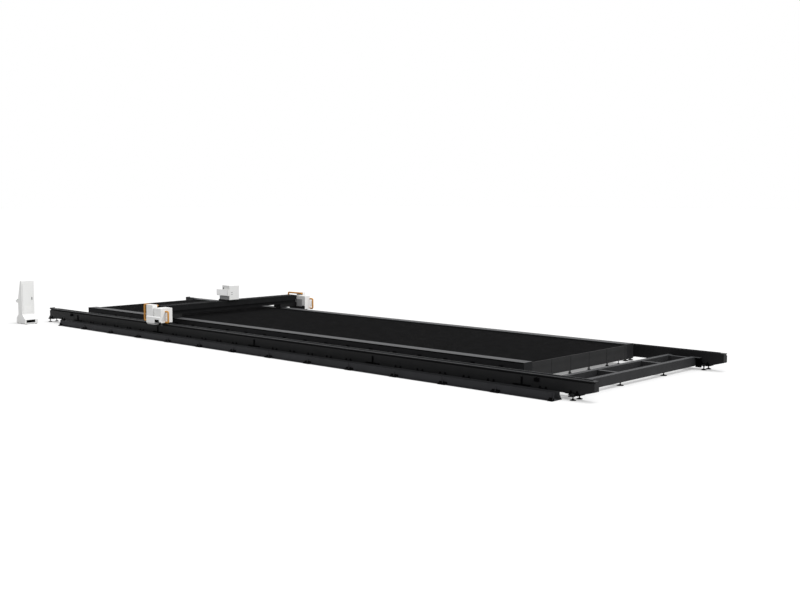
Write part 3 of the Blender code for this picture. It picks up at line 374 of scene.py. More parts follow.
def toPiece(name, bm, look, body, smooth=False, replaces=()):
    bmesh.ops.recalc_face_normals(bm, faces=bm.faces)
    mesh = bpy.data.meshes.new(name)
    bm.to_mesh(mesh)
    bm.free()
    piece = bpy.data.objects.new(name, mesh)
    bpy.context.scene.collection.objects.link(piece)
    mesh.materials.append(mats[look])
    if smooth:
        mesh.shade_smooth()
        edges = piece.modifiers.new("creases", "EDGE_SPLIT")
        edges.split_angle = math.radians(creaseAngle)
    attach(piece, body)
    if replaces:
        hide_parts(*replaces)


# the near side's piece, or its mirror image on the far side; the names begin with the side
def toSide(side, name, bm, look, body, smooth=False, replaces=()):
    if side == "far":
        acrossBeds(bm)
    toPiece(side + "_" + name, bm, look, body, smooth, [side + "_" + old for old in replaces])


# slats: thin plates with a row of points along the top, tied at both ends by a bar
slatFacts = {"start": 1.9303, "end": 25.3897, "banks": 4, "slats": 49, "thick": 0.006,
             "yLow": 1.1773, "yHigh": 6.3067, "zLow": 0.54, "zRoot": 0.642, "zTip": 0.67, "points": 74,
             "gap": 0.0003, "endGap": 0.004, "pointShares": (0.36, 0.64), "barWide": 0.01}


def makeSlats(facts):
    gap = facts["gap"]
    length = (facts["end"] - facts["start"] - gap * (facts["banks"] - 1)) / facts["banks"]
    pitch = (length - facts["thick"]) / facts["slats"]
    yLow = facts["yLow"] + facts["endGap"]
    yHigh = facts["yHigh"] - facts["endGap"]
    rise, fall = facts["pointShares"]
    step = (yHigh - yLow) / facts["points"]
    outline = [(yHigh, facts["zLow"]), (yLow, facts["zLow"])]
    for k in range(facts["points"]):
        y = yLow + k * step
        outline += [(y, facts["zRoot"]), (y + step * rise, facts["zTip"]), (y + step * fall, facts["zTip"])]
    outline.append((yHigh, facts["zRoot"]))
    for bank in range(facts["banks"]):
        low = facts["start"] + bank * (length + gap)
        bm = bmesh.new()
        for slat in range(facts["slats"] + 1):
            x = low + slat * pitch
            extrudeInto(bm, outline, "X", x, x + facts["thick"])
        for y in (facts["yLow"], facts["yHigh"] - facts["barWide"]):
            boxInto(bm, (low, low + length), (y, y + facts["barWide"]), (facts["zLow"], facts["zRoot"]))
        number = str(bank + 1)
        toPiece("slat_plates_" + number, bm, "slat", "frame", replaces=("slat_bank_" + number,))


# racks: real teeth that mesh with the pinions; heights are those of the teeth's roots, tips and back
rackFacts = {"rootHalf": 0.33, "tipHalf": 0.11,
             "x": {"span": (0.30, 28.20), "module": 0.004, "gear": 8.56, "heights": (0.012, 0.002, 0.0447),
                   "across": (0.5053, 0.5453)},
             "y": {"span": (0.50, spanY - 0.50), "module": 0.003, "gear": 3.50,
                   "heights": (1.0300, 1.0230, 1.070), "across": (7.7197, 7.7497)}}


# the side view of a rack; the phase is the middle of one tooth
def rackOutline(run, pitch, phase, facts):
    start, end = run["span"]
    root, tip, back = run["heights"]
    wide = pitch * facts["rootHalf"]
    slim = pitch * facts["tipHalf"]
    outline = [(end, back), (start, back), (start, root)]
    first = math.ceil((start - phase) / pitch + 0.5)
    last = math.floor((end - phase) / pitch - 0.5)
    for tooth in range(first, last + 1):
        centre = phase + tooth * pitch
        outline += [(centre - wide, root), (centre - slim, tip), (centre + slim, tip), (centre + wide, root)]
    outline.append((end, root))
    return outline


def makeRacks(facts):
    run = facts["x"]
    outline = rackOutline(run, math.pi * run["module"], run["gear"], facts)
    for side in bothSides:
        bm = bmesh.new()
        extrudeInto(bm, outline, "Z", *run["across"])
        toSide(side, "rack_teeth", bm, "rack", "frame", replaces=("x_rack",))
    run = facts["y"]
    pitch = math.pi * run["module"]
    bm = bmesh.new()
    extrudeInto(bm, rackOutline(run, pitch, run["gear"] + pitch / 2, facts), "X", *run["across"])
    toPiece("y_rack_teeth", bm, "steel", "gantry", replaces=("y_rack",))


# guard hoops: round tube with bent corners; x of the top end, the low end and the bend, then z of both legs
hoopFacts = {"tube": 0.035, "bend": 0.045, "y": -0.0047, "steps": 5,
             "ends": {"left_hoop": (8.26, 7.8697, 7.33, 0.60, 1.295),
                      "right_hoop": (8.7906, 8.7906, 8.99, 0.615, 1.098)}}


def hoopPath(topX, lowX, closedX, lowZ, highZ, facts):
    way = 1 if closedX > topX else -1
    r = facts["bend"]
    y = facts["y"]
    edge = closedX - way * (facts["tube"] + r)
    zTop = highZ - facts["tube"]
    zLow = lowZ + facts["tube"]
    turns = [math.pi / 2 * k / facts["steps"] for k in range(facts["steps"] + 1)]
    path = [(topX, y, zTop)]
    path += [(edge + way * r * math.cos(a), y, zTop - r + r * math.sin(a)) for a in reversed(turns)]
    path += [(edge + way * r * math.cos(a), y, zLow + r - r * math.sin(a)) for a in turns]
    return path + [(lowX, y, zLow)]


def makeHoops(facts):
    for side in bothSides:
        for name, ends in facts["ends"].items():
            bm = bmesh.new()
            tubeInto(bm, hoopPath(*ends, facts), facts["tube"])
            toSide(side, name + "_tube", bm, "hoop", "gantry", smooth=True, replaces=(name,))


makeSlats(slatFacts)
makeRacks(rackFacts)
makeHoops(hoopFacts)
print("stage: slats, racks and hoops")


# fittings of both beds: foot discs and nuts, bracket plates, splice bars
bedFacts = {"firstJoint": 2.34, "section": 5.9, "sections": 4, "offsets": (1.11, 2.03, 2.95, 3.87, 4.79),
            "ends": (0.10, 1.15, 26.67, 27.70), "width": 0.2226, "padReach": 0.155,
            "disc": 0.085, "discHigh": 0.020, "neck": 0.030, "nut": 0.030, "boltTop": 0.135,
            "plateHalf": 0.17, "plateZ": (0.128, 0.200), "proud": 0.010, "edge": 0.003,
            "gussetShares": (-0.6, 0.6), "gussetHalf": (0.035, 0.022), "gussetHigh": 0.262,
            "soleReach": 0.05, "soleThick": 0.014, "bolt": 0.009, "boltZ": 0.165, "boltHead": 0.006,
            "spliceHalf": 0.030, "spliceProud": 0.020, "spliceZ": (0.215, 0.450), "spliceBolts": 5,
            "spliceBoltLow": 0.275, "spliceBoltPitch": 0.04, "shoeHalf": 0.31, "shoeZ": (0.203, 0.245),
            "shoeEdge": 0.004, "shoeBoltZ": 0.224, "shoeBoltPitch": 0.066}
footShape = {"heights": (0.6, 1.5, 2.2), "widths": (1.4, 0.6), "nutHigh": 0.030}


def bedStations(facts):
    starts = [facts["firstJoint"] + k * facts["section"] for k in range(facts["sections"])]
    return list(facts["ends"]) + [start + offset for start in starts for offset in facts["offsets"]]


def footInto(bm, x, y, facts):
    rim, shoulder, waist = (facts["discHigh"] * share for share in footShape["heights"])
    cone, stem = (facts["neck"] * share for share in footShape["widths"])
    top = facts["boltTop"]
    turnInto(bm, [(facts["disc"], 0.0), (facts["disc"], rim), (cone, shoulder), (stem, waist), (stem, top)],
             (x, y, 0.0), sides=20)
    rodInto(bm, facts["nut"], top - footShape["nutHigh"], top, (x, y, 0.0), sides=6)


def bracketInto(bm, x, facts):
    half = facts["plateHalf"]
    base, top = facts["plateZ"]
    wide, slim = facts["gussetHalf"]
    tip = facts["gussetHigh"]
    proud = facts["proud"]
    for face in (-proud, facts["width"]):
        boxInto(bm, (x - half, x + half), (face, face + proud), (base, top), facts["edge"])
        boltY = face if face > 0 else face - proud / 2
        for share in facts["gussetShares"]:
            spot = x + share * half
            outline = [(spot - wide, top), (spot + wide, top), (spot + slim, tip), (spot - slim, tip)]
            extrudeInto(bm, outline, "Y", face, face + proud)
            rodInto(bm, facts["bolt"], 0.0, proud, (spot, boltY, facts["boltZ"]), "Y", 6)
    reach = facts["soleReach"]
    boxInto(bm, (x - half, x + half), (-reach, facts["width"] + reach), (base, base + facts["soleThick"]))


def spliceInto(bm, x, facts):
    proud = facts["spliceProud"]
    half, shoe = facts["spliceHalf"], facts["shoeHalf"]
    boxInto(bm, (x - half, x + half), (-proud, 0.0), facts["spliceZ"], facts["edge"])
    boxInto(bm, (x - shoe, x + shoe), (-proud, 0.0), facts["shoeZ"], facts["shoeEdge"])
    spots = [(x, facts["spliceBoltLow"] + k * facts["spliceBoltPitch"]) for k in range(facts["spliceBolts"])]
    spots += [(x + k * facts["shoeBoltPitch"], facts["shoeBoltZ"]) for k in (-4, -3, -2, -1, 1, 2, 3, 4)]
    for boltX, boltZ in spots:
        rodInto(bm, facts["bolt"], -proud - facts["boltHead"], -proud, (boltX, 0.0, boltZ), "Y", 6)


def makeBedFittings(facts):
    for side in bothSides:
        bm = bmesh.new()
        for x in bedStations(facts):
            bracketInto(bm, x, facts)
            for reach in (-facts["padReach"], facts["padReach"]):
                footInto(bm, x, facts["width"] / 2 + reach, facts)
        for k in range(facts["sections"] + 1):
            spliceInto(bm, facts["firstJoint"] + k * facts["section"], facts)
        toSide(side, "bed_fittings", bm, "iron", "frame")


makeBedFittings(bedFacts)
print("stage: bed fittings")


# table: a black strip under its top edge as painted shade in the groove there, the clamps along its side,
# seams and feet of its end plate
tableFacts = {"runX": (1.93, 25.39), "outerY": 0.781, "grooveShadeZ": (0.662, 0.688), "clampStart": 2.98,
              "clampPitch": 1.08, "clamps": 21, "clampHalf": 0.085, "clampZ": (0.485, 0.540), "edge": 0.004,
              "proud": 0.004, "bolt": 0.012, "boltReach": 0.28, "boltOut": 0.008, "seamX": (25.43, 25.432),
              "seamY": (2.14, 3.135, 4.129, 5.118, 6.199), "seamHalf": 0.004, "plateZ": (0.212, 0.668),
              "rowX": (2.32, 25.0), "footPitch": 1.055, "feet": 5,
              "disc": 0.062, "discHigh": 0.016, "neck": 0.020, "nut": 0.034, "boltTop": 0.165}
frameFeet = {"x": (26.49, 27.33), "y": (0.435, 2.90, 5.365), "disc": 0.105, "discHigh": 0.020, "neck": 0.028,
             "nut": 0.036, "boltTop": 0.107}


def makeTableFittings(facts, feet):
    outer = facts["outerY"]
    face = outer - facts["proud"]
    half = facts["clampHalf"]
    middle = sum(facts["clampZ"]) / 2
    for side in bothSides:
        bm = bmesh.new()
        # painted shade: a black strip stands for the shadow in the groove under the top edge
        boxInto(bm, facts["runX"], (face, outer), facts["grooveShadeZ"])
        for k in range(facts["clamps"]):
            x = facts["clampStart"] + k * facts["clampPitch"]
            boxInto(bm, (x - half, x + half), (face - facts["proud"], outer), facts["clampZ"], facts["edge"])
            for boltX in (x - facts["boltReach"], x + facts["boltReach"]):
                spot = (boltX, face - facts["boltOut"], middle)
                rodInto(bm, facts["bolt"], 0.0, facts["bolt"], spot, "Y", 8)
        toSide(side, "table_fittings", bm, "iron", "frame")
    bm = bmesh.new()
    for y in facts["seamY"]:
        boxInto(bm, facts["seamX"], (y - facts["seamHalf"], y + facts["seamHalf"]), facts["plateZ"])
    for x in facts["rowX"]:
        for k in range(facts["feet"]):
            footInto(bm, x, spanY / 2 + (k - (facts["feet"] - 1) / 2) * facts["footPitch"], facts)
    for x in feet["x"]:
        for y in feet["y"]:
            footInto(bm, x, y, feet)
    toPiece("table_feet", bm, "iron", "frame")


# cable trough: black wedge feet and sheet seams; walls are y of the wall, its foot and the toe's inner edge
troughFacts = {"start": 1.738, "pitch": 1.9726, "count": 14, "half": 0.145, "ends": (1.72, 27.40),
               "walls": ((-0.488, -0.592, -0.5603), (-0.232, -0.130, None)), "low": 0.0125, "high": 0.088,
               "knee": (0.35, 0.45), "toe": 0.008, "seamEvery": 2, "seamHalf": 0.004, "seamShift": 0.05,
               "seamY": (-0.4895, -0.488), "top": 0.229}


def makeTroughFittings(facts):
    bm = bmesh.new()
    low, high = facts["low"], facts["high"]
    out, up = facts["knee"]
    for k in range(facts["count"]):
        x = facts["start"] + k * facts["pitch"]
        left, right = max(x - facts["half"], facts["ends"][0]), min(x + facts["half"], facts["ends"][1])
        for wall, foot, edge in facts["walls"]:
            knee = (wall + (foot - wall) * out, low + (high - low) * up)
            outline = [(wall, low), (wall, high), knee, (foot, low + facts["toe"])]
            outline += [(foot, 0.0), (edge, 0.0), (edge, low)] if edge else [(foot, low)]
            extrudeInto(bm, outline, "X", left, right)
        if k % facts["seamEvery"] == 1:
            seam = x - facts["seamShift"]
            seamX = (seam - facts["seamHalf"], seam + facts["seamHalf"])
            boxInto(bm, seamX, facts["seamY"], (high, facts["top"]))
    toPiece("trough_fittings", bm, "iron", "frame")


# where the end frame is bolted to the beds
frameJoint = {"x": (27.4205, 27.60), "edge": 0.003,
              "plate": {"look": "iron", "y": (0.2229, 0.30), "z": (0.07, 0.375)},
              "cap": {"look": "frame", "y": (0.2229, 0.39), "z": (0.376, 0.3895)}}


def makeFrameJoints(facts):
    for side in bothSides:
        for name in ("plate", "cap"):
            part = facts[name]
            bm = bmesh.new()
            boxInto(bm, facts["x"], part["y"], part["z"], facts["edge"])
            toSide(side, "frame_" + name, bm, part["look"], "frame")


makeTableFittings(tableFacts, frameFeet)
makeTroughFittings(troughFacts)
makeFrameJoints(frameJoint)
print("stage: table and trough fittings")


# drive covers: the near one's apron with its ledge and slot, the ledge in glowing white as a painted
# highlight and the slot a black sheet of painted shade, then grey panels of painted shade in the cover
# windows, end plates, and grey triangles of painted shadow from the hoops
coverFacts = {"apronY": (-0.276, -0.2704), "apronX": (7.8705, 8.40, 8.44, 8.7899), "ledgeY": -0.2604,
              "apronLow": (0.605, 0.645, 0.665), "ledgeLow": 0.835, "ledgeTop": (0.864, 0.872),
              "slotX": (8.44, 8.715), "slotY": (-0.278, -0.276), "slotZ": (0.650, 0.755), "slotEdge": 0.0009,
              "sideX": (8.786, 8.7899), "skirtY": -0.2565, "hoodY": -0.2265, "skirtZ": 0.7695,
              "panelX": {"near": (8.3397, 8.5997), "far": (8.2447, 8.5997)},
              "panelY": (0.2957, 0.2992), "panelZ": (0.73, 1.039), "panelEdge": 0.002,
              "endX": (8.200, 8.235), "endY": (-0.0115, 0.2995), "endZ": (0.861, 1.190), "endEdge": 0.004,
              "hoopShadeX": (8.7906, 8.7930), "hoopShadeAndGasket": ((-0.034, 1.06), (-0.215, 0.72), (0.0, 0.70))}


def makeCovers(facts):
    bm = bmesh.new()
    left, bend, rise, right = facts["apronX"]
    low, lowBend, lowRight = facts["apronLow"]
    outer, inner = facts["apronY"]
    top = facts["ledgeLow"]
    outline = [(left, low), (bend, low), (rise, lowBend), (right, lowRight), (right, top), (left, top)]
    extrudeInto(bm, outline, "Y", outer, inner)
    boxInto(bm, facts["sideX"], (inner, facts["hoodY"]), (lowRight, facts["skirtZ"]))
    boxInto(bm, facts["sideX"], (inner, facts["skirtY"]), (facts["skirtZ"], top))
    toPiece("near_drive_apron", bm, "cover", "gantry")
    bm = bmesh.new()
    # painted highlight: the ledge's chamfer is drawn in the glowing white so it shows as a bright line
    ledge = [(outer, top), (inner, top)] + [(facts["ledgeY"], z) for z in facts["ledgeTop"]]
    extrudeInto(bm, ledge, "X", left, right)
    toPiece("apron_ledge_highlight", bm, "glowWhite", "gantry")
    # painted shade: a black sheet on the apron stands for the dark inside the slot
    bm = bmesh.new()
    boxInto(bm, facts["slotX"], facts["slotY"], facts["slotZ"], facts["slotEdge"], 1)
    toPiece("apron_slot_shade", bm, "shade", "gantry")
    for side in bothSides:
        # painted shade: a grey sheet in each cover window stands for the shade inside the hood
        bm = bmesh.new()
        boxInto(bm, facts["panelX"][side], facts["panelY"], facts["panelZ"], facts["panelEdge"])
        toSide(side, "cover_window_shade", bm, "inner", "gantry")
        bm = bmesh.new()
        boxInto(bm, facts["endX"], facts["endY"], facts["endZ"], facts["endEdge"])
        toSide(side, "cover_end_plate", bm, "beam", "gantry")
        bm = bmesh.new()
        # painted shadow: a grey triangle on the cover's face stands for the shadow of the hoop
        extrudeInto(bm, facts["hoopShadeAndGasket"], "X", *facts["hoopShadeX"])
        toSide(side, "cover_hoop_shade", bm, "hoopShadeAndGasket", "gantry")


# saddle: the bare panel, a grey sheet on the lower body as painted shade under the side housing, a cable
# gland, and grey strips as painted shade in the vent slots
saddleFacts = {"panelX": (7.66, 8.335), "panelY": (3.331, 3.3348), "panelZ": (1.440, 1.648),
               "panelEdge": 0.0015,
               "body": ((7.808, 1.2575), (7.886, 1.408), (8.374, 1.408), (8.374, 1.2575)),
               "bodyY": (3.404, 3.4097), "gland": (7.992, 3.4097, 1.722), "glandRadius": 0.024,
               "glandShape": ((1.0, -0.014), (1.0, -0.004), (1.2, -0.004), (1.2, 0.0)),
               "slotX": (8.3765, 8.3785), "slotY": (3.488, 3.587), "slotZ": (1.48, 1.56), "slotHalf": 0.010}


def makeSaddleTrim(facts):
    bm = bmesh.new()
    boxInto(bm, facts["panelX"], facts["panelY"], facts["panelZ"], facts["panelEdge"])
    # painted light: the bare panel is drawn in the white that glows
    toPiece("bare_panel", bm, "glowWhite", "saddle")
    bm = bmesh.new()
    # painted shade: the grey sheet darkens the lower body under the overhanging housing
    extrudeInto(bm, facts["body"], "Y", *facts["bodyY"])
    toPiece("saddle_lower_body_shade", bm, "inner", "saddle")
    bm = bmesh.new()
    turnInto(bm, ringsOf(facts["glandShape"], facts["glandRadius"]), facts["gland"], "Y", 20)
    toPiece("saddle_gland", bm, "iron", "saddle")
    bm = bmesh.new()
    # painted shade: grey strips stand for the shade in the vent slots
    for z in facts["slotZ"]:
        boxInto(bm, facts["slotX"], facts["slotY"], (z - facts["slotHalf"], z + facts["slotHalf"]))
    toPiece("saddle_slot_shades", bm, "inner", "saddle")


makeCovers(coverFacts)
makeSaddleTrim(saddleFacts)
print("stage: gantry trim")


# console: the base's slot insert and feet, a black plate as painted shade beneath the raised base, the door's
# gasket and the keys
consoleFacts = {"slotX": (0.274, 0.300), "slotY": (-1.272, -0.873), "slotZ": (0.068, 0.180), "edge": 0.003,
                "bars": 8, "barX": (0.300, 0.304), "barHalf": 0.003, "footX": (-0.398, 0.244),
                "footY": (-1.275, -0.81), "footRadius": 0.046,
                "footShape": ((1.15, 0.0), (1.15, 0.008), (1.0, 0.0216)),
                "underShadeX": (-0.340, 0.190), "underShadeY": (-1.310, -0.775), "underShadeZ": (0.004, 0.0216),
                "doorY": (-1.29, -0.835), "doorZ": (0.50, 1.72), "gasketX": (0.0412, 0.0442),
                "gasketWide": 0.007, "gasketGap": 0.0005, "rows": 5, "columns": 15, "keyX": (-0.505, -0.37),
                "keyY": (-1.235, -0.935), "keyZ": (1.0404, 1.0455), "keyGap": 0.002, "keyEdge": 0.002}


def makeBaseTrim(facts):
    bm = bmesh.new()
    boxInto(bm, facts["slotX"], facts["slotY"], facts["slotZ"], facts["edge"])
    start, end = facts["slotY"]
    for k in range(1, facts["bars"]):
        y = start + (end - start) * k / facts["bars"]
        boxInto(bm, facts["barX"], (y - facts["barHalf"], y + facts["barHalf"]), facts["slotZ"])
    for x in facts["footX"]:
        for y in facts["footY"]:
            turnInto(bm, ringsOf(facts["footShape"], facts["footRadius"]), (x, y, 0.0), sides=20)
    # painted shade: a black plate between the feet stands for the shadow under the raised base
    boxInto(bm, facts["underShadeX"], facts["underShadeY"], facts["underShadeZ"], facts["edge"])
    toPiece("console_slot_and_feet", bm, "iron", "frame")


def makeGasket(facts):
    bm = bmesh.new()
    low, high = facts["doorY"]
    base, top = facts["doorZ"]
    wide = facts["gasketWide"]
    gap = facts["gasketGap"]
    around = (low - wide, high + wide)
    for ys, zs in ((around, (base - wide, base - gap)), (around, (top + gap, top + wide)),
                   ((low - wide, low - gap), (base, top)), ((high + gap, high + wide), (base, top))):
        boxInto(bm, facts["gasketX"], ys, zs)
    toPiece("door_gasket", bm, "hoopShadeAndGasket", "frame")


def makeKeys(facts):
    bm = bmesh.new()
    stepX = (facts["keyX"][1] - facts["keyX"][0]) / facts["rows"]
    stepY = (facts["keyY"][1] - facts["keyY"][0]) / facts["columns"]
    gap = facts["keyGap"]
    for row in range(facts["rows"]):
        for column in range(facts["columns"]):
            x = facts["keyX"][0] + row * stepX
            y = facts["keyY"][0] + column * stepY
            xs, ys = (x + gap, x + stepX - gap), (y + gap, y + stepY - gap)
            boxInto(bm, xs, ys, facts["keyZ"], facts["keyEdge"], 1)
    toPiece("keys", bm, "key", "frame")


# screen: its frame and glass on the console's sloping front, placed by shares up the slope
screenFacts = {"slope": ((-0.285, 1.04), (-0.067, 1.87)), "slopeLong": 0.8582, "shares": (0.24, 0.70),
               "y": (-1.2325, -0.8525), "rim": 0.014, "lifts": (0.0003, 0.0085, 0.012),
               "glassLifts": (0.0086, 0.0105), "glassGap": 0.0008}


# x and z on the slope: share up it and lift off it
def onSlope(facts, share, lift):
    (lowX, lowZ), (highX, highZ) = facts["slope"]
    along = Vector((highX - lowX, highZ - lowZ))
    out = Vector((-along.y, along.x)).normalized()
    return tuple(Vector((lowX, lowZ)) + along * share + out * lift)


def plateInto(bm, facts, shares, ys, lifts):
    corners = ((shares[0], lifts[0]), (shares[1], lifts[0]), (shares[1], lifts[1]), (shares[0], lifts[1]))
    extrudeInto(bm, [onSlope(facts, share, lift) for share, lift in corners], "Y", *ys)


def makeScreen(facts):
    low, high = facts["shares"]
    left, right = facts["y"]
    rim = facts["rim"]
    rimShare = rim / facts["slopeLong"]
    back, face, front = facts["lifts"]
    inLow, inHigh = low + rimShare, high - rimShare
    bm = bmesh.new()
    plateInto(bm, facts, (low, high), (left, right), (back, face))
    for shares, ys in (((low, inLow), (left, right)), ((inHigh, high), (left, right)),
                       ((inLow, inHigh), (left, left + rim)), ((inLow, inHigh), (right - rim, right))):
        plateInto(bm, facts, shares, ys, (face, front))
    toPiece("screen_frame", bm, "black", "frame", replaces=("screen",))
    bm = bmesh.new()
    gap = facts["glassGap"]
    glassY = (left + rim + gap, right - rim - gap)
    plateInto(bm, facts, (inLow + gap, inHigh - gap), glassY, facts["glassLifts"])
    toPiece("screen_glass", bm, "glass", "frame")


# rear door: hinges of three knuckles on a leaf, and louvred vents
doorFacts = {"hinge": (0.0605, -1.296), "hingeZ": (0.66, 1.11, 1.56), "knuckle": 0.0055, "knuckleLong": 0.028,
             "knuckles": (-0.045, -0.015, 0.015), "leafX": (0.0535, 0.0553), "leafY": (-1.294, -1.260),
             "leafHalf": 0.043, "leafEdge": 0.0008, "ventX": 0.0535, "ventY": (-1.24, -0.92),
             "ventZ": (0.60, 0.63, 0.66, 0.69, 0.72),
             "ventShape": ((0.0, 0.0), (0.006, 0.002), (0.006, 0.004), (0.0, 0.016))}


def makeDoorTrim(facts):
    bm = bmesh.new()
    for z in facts["hingeZ"]:
        for up in facts["knuckles"]:
            rodInto(bm, facts["knuckle"], 0.0, facts["knuckleLong"], (*facts["hinge"], z + up), sides=16)
        leafZ = (z - facts["leafHalf"], z + facts["leafHalf"])
        boxInto(bm, facts["leafX"], facts["leafY"], leafZ, facts["leafEdge"], 1)
    toPiece("door_hinges", bm, "cover", "door")
    bm = bmesh.new()
    for z in facts["ventZ"]:
        outline = [(facts["ventX"] + out, z + up) for out, up in facts["ventShape"]]
        extrudeInto(bm, outline, "Y", *facts["ventY"])
    toPiece("door_vents", bm, "cover", "door")


makeBaseTrim(consoleFacts)
makeGasket(consoleFacts)
makeKeys(consoleFacts)
makeScreen(screenFacts)
makeDoorTrim(doorFacts)
print("stage: console trim")


# guide rails with their bolt plugs; the waisted profile is in shares of half the width and of the height
railFacts = {"profile": ((1.0, 0.0), (1.0, 0.30), (0.62, 0.46), (0.62, 0.66), (0.96, 0.80), (0.96, 0.95),
                         (0.88, 0.99)),
             "plugRadius": 0.30, "plugDeep": 0.002, "plugSides": 10, "xPitch": 0.24, "yPitch": 0.12,
             "x": {"start": 0.45, "end": 28.20, "y": (0.148, 0.182), "z": (0.5723, 0.6023)},
             "y": {"start": 0.50, "end": 6.984, "x": (7.7497, 7.7197),
                   "z": {"lower": (0.908, 0.942), "upper": (1.138, 1.172)}}}


def railOutline(base, head, low, high, profile):
    middle = (low + high) / 2
    half = (high - low) / 2
    deep = head - base
    outline = [(base + deep * up, middle + half * wide) for wide, up in profile]
    return outline + [(base + deep * up, middle - half * wide) for wide, up in reversed(profile)]


def plugSpots(run, pitch):
    return [run["start"] + pitch * (k + 0.5) for k in range(int((run["end"] - run["start"]) / pitch))]


def makeRails(facts):
    deep, sides = facts["plugDeep"], facts["plugSides"]
    run = facts["x"]
    low, high = run["y"]
    radius = (high - low) * facts["plugRadius"]
    for side in bothSides:
        bm = bmesh.new()
        outline = [(y, z) for z, y in railOutline(*run["z"], low, high, facts["profile"])]
        extrudeInto(bm, outline, "X", run["start"], run["end"])
        for x in plugSpots(run, facts["xPitch"]):
            rodInto(bm, radius, -deep, 0.0, (x, (low + high) / 2, run["z"][1]), sides=sides)
        toSide(side, "rail_profile", bm, "rail", "frame", replaces=("x_rail",))
    run = facts["y"]
    for level, (low, high) in run["z"].items():
        bm = bmesh.new()
        extrudeInto(bm, railOutline(*run["x"], low, high, facts["profile"]), "Y", run["start"], run["end"])
        radius = (high - low) * facts["plugRadius"]
        for y in plugSpots(run, facts["yPitch"]):
            rodInto(bm, radius, 0.0, deep, (run["x"][1], y, (low + high) / 2), "X", sides)
        toPiece(level + "_rail_profile", bm, "rail", "gantry", replaces=("y_rail_" + level,))


makeRails(railFacts)
print("stage: rails")


# square servo motors: steps from the flange on, as shares of the length and of half the width
motorSteps = ((0.0, 0.07, 1.0), (0.07, 0.12, 0.80), (0.12, 0.66, 0.90), (0.66, 0.69, 0.82), (0.69, 1.0, 0.84))
motorCorner = 0.82
boltShare = 0.84
corners = ((-1, -1), (-1, 1), (1, -1), (1, 1))


# the flange is where the motor starts, so a start above the end turns it round
def motorInto(bm, spot, half, start, end, axis):
    for base, top, share in motorSteps:
        r = half * share
        c = r * motorCorner
        square = ((-c, -r), (c, -r), (r, -c), (r, c), (c, r), (-c, r), (-r, c), (-r, -c))
        outline = [(spot[0] + a, spot[1] + b) for a, b in square]
        extrudeInto(bm, outline, axis, start + (end - start) * base, start + (end - start) * top)


yServo = {"x": (7.6597, 7.4697), "spot": (3.50, 1.002), "half": 0.060,
          "plugX": (7.4977, 7.5447), "plugZ": 1.042,
          "plug": ((0.013, 0.0), (0.013, 0.012), (0.010, 0.012), (0.010, 0.020)),
          "bolt": 0.006, "boltX": (7.6414, 7.6464)}
zServo = {"z": (1.5003, 1.6553), "spot": (7.56, 3.78), "half": 0.050, "plugZ": (1.6353, 1.6033),
          "plug": ((0.011, 0.040), (0.011, 0.047), (0.009, 0.047), (0.009, 0.050)),
          "bolt": 0.005, "boltZ": (1.5112, 1.5162)}


def makeYServo(facts):
    bm = bmesh.new()
    y, z = facts["spot"]
    motorInto(bm, facts["spot"], facts["half"], *facts["x"], "X")
    for x in facts["plugX"]:
        turnInto(bm, facts["plug"], (x, y, facts["plugZ"]), sides=16)
    reach = facts["half"] * boltShare
    for a, b in corners:
        rodInto(bm, facts["bolt"], *facts["boltX"], (0.0, y + a * reach, z + b * reach), "X")
    toPiece("y_servo", bm, "black", "saddle", replaces=("y_motor",))


def makeZServo(facts):
    bm = bmesh.new()
    x, y = facts["spot"]
    motorInto(bm, facts["spot"], facts["half"], *facts["z"], "Z")
    for z in facts["plugZ"]:
        turnInto(bm, facts["plug"], (x, y, z), "Y", 16)
    reach = facts["half"] * boltShare
    for a, b in corners:
        rodInto(bm, facts["bolt"], *facts["boltZ"], (x + a * reach, y + b * reach, 0.0))
    toPiece("z_servo", bm, "black", "saddle", replaces=("z_motor",))


# round servo motors of the x drives: flange and gearbox, a row of fins, then the cap
xServo = {"spot": (8.56, -0.030), "low": 0.6553, "radius": 0.075, "sides": 40,
          "foot": ((1.0, 0.0), (1.0, 0.014), (0.80, 0.016), (0.80, 0.090), (0.95, 0.094), (0.95, 0.106),
                   (0.86, 0.108)),
          "fins": 7, "finLow": 0.112, "finPitch": 0.020,
          "fin": ((0.86, 0.0), (0.90, 0.002), (0.90, 0.012), (0.86, 0.014)),
          "cap": ((0.80, 0.272), (0.80, 0.330), (0.70, 0.340)),
          "bolts": 8, "bolt": 0.005, "boltShare": 0.9, "boltZ": (0.014, 0.018)}


def makeXServos(facts):
    x, y = facts["spot"]
    low = facts["low"]
    reach = facts["boltShare"] * facts["radius"]
    lifts = [facts["finLow"] + facts["finPitch"] * k for k in range(facts["fins"])]
    fins = tuple((share, lift + up) for lift in lifts for share, up in facts["fin"])
    profile = ringsOf(facts["foot"] + fins + facts["cap"], facts["radius"], low)
    for side in bothSides:
        bm = bmesh.new()
        turnInto(bm, profile, (x, y, 0.0), sides=facts["sides"])
        for k in range(facts["bolts"]):
            a = math.tau * (k + 0.5) / facts["bolts"]
            spot = (x + reach * math.cos(a), y + reach * math.sin(a), low)
            rodInto(bm, facts["bolt"], *facts["boltZ"], spot)
        toSide(side, "servo", bm, "black", "gantry", smooth=True, replaces=("x_motor",))


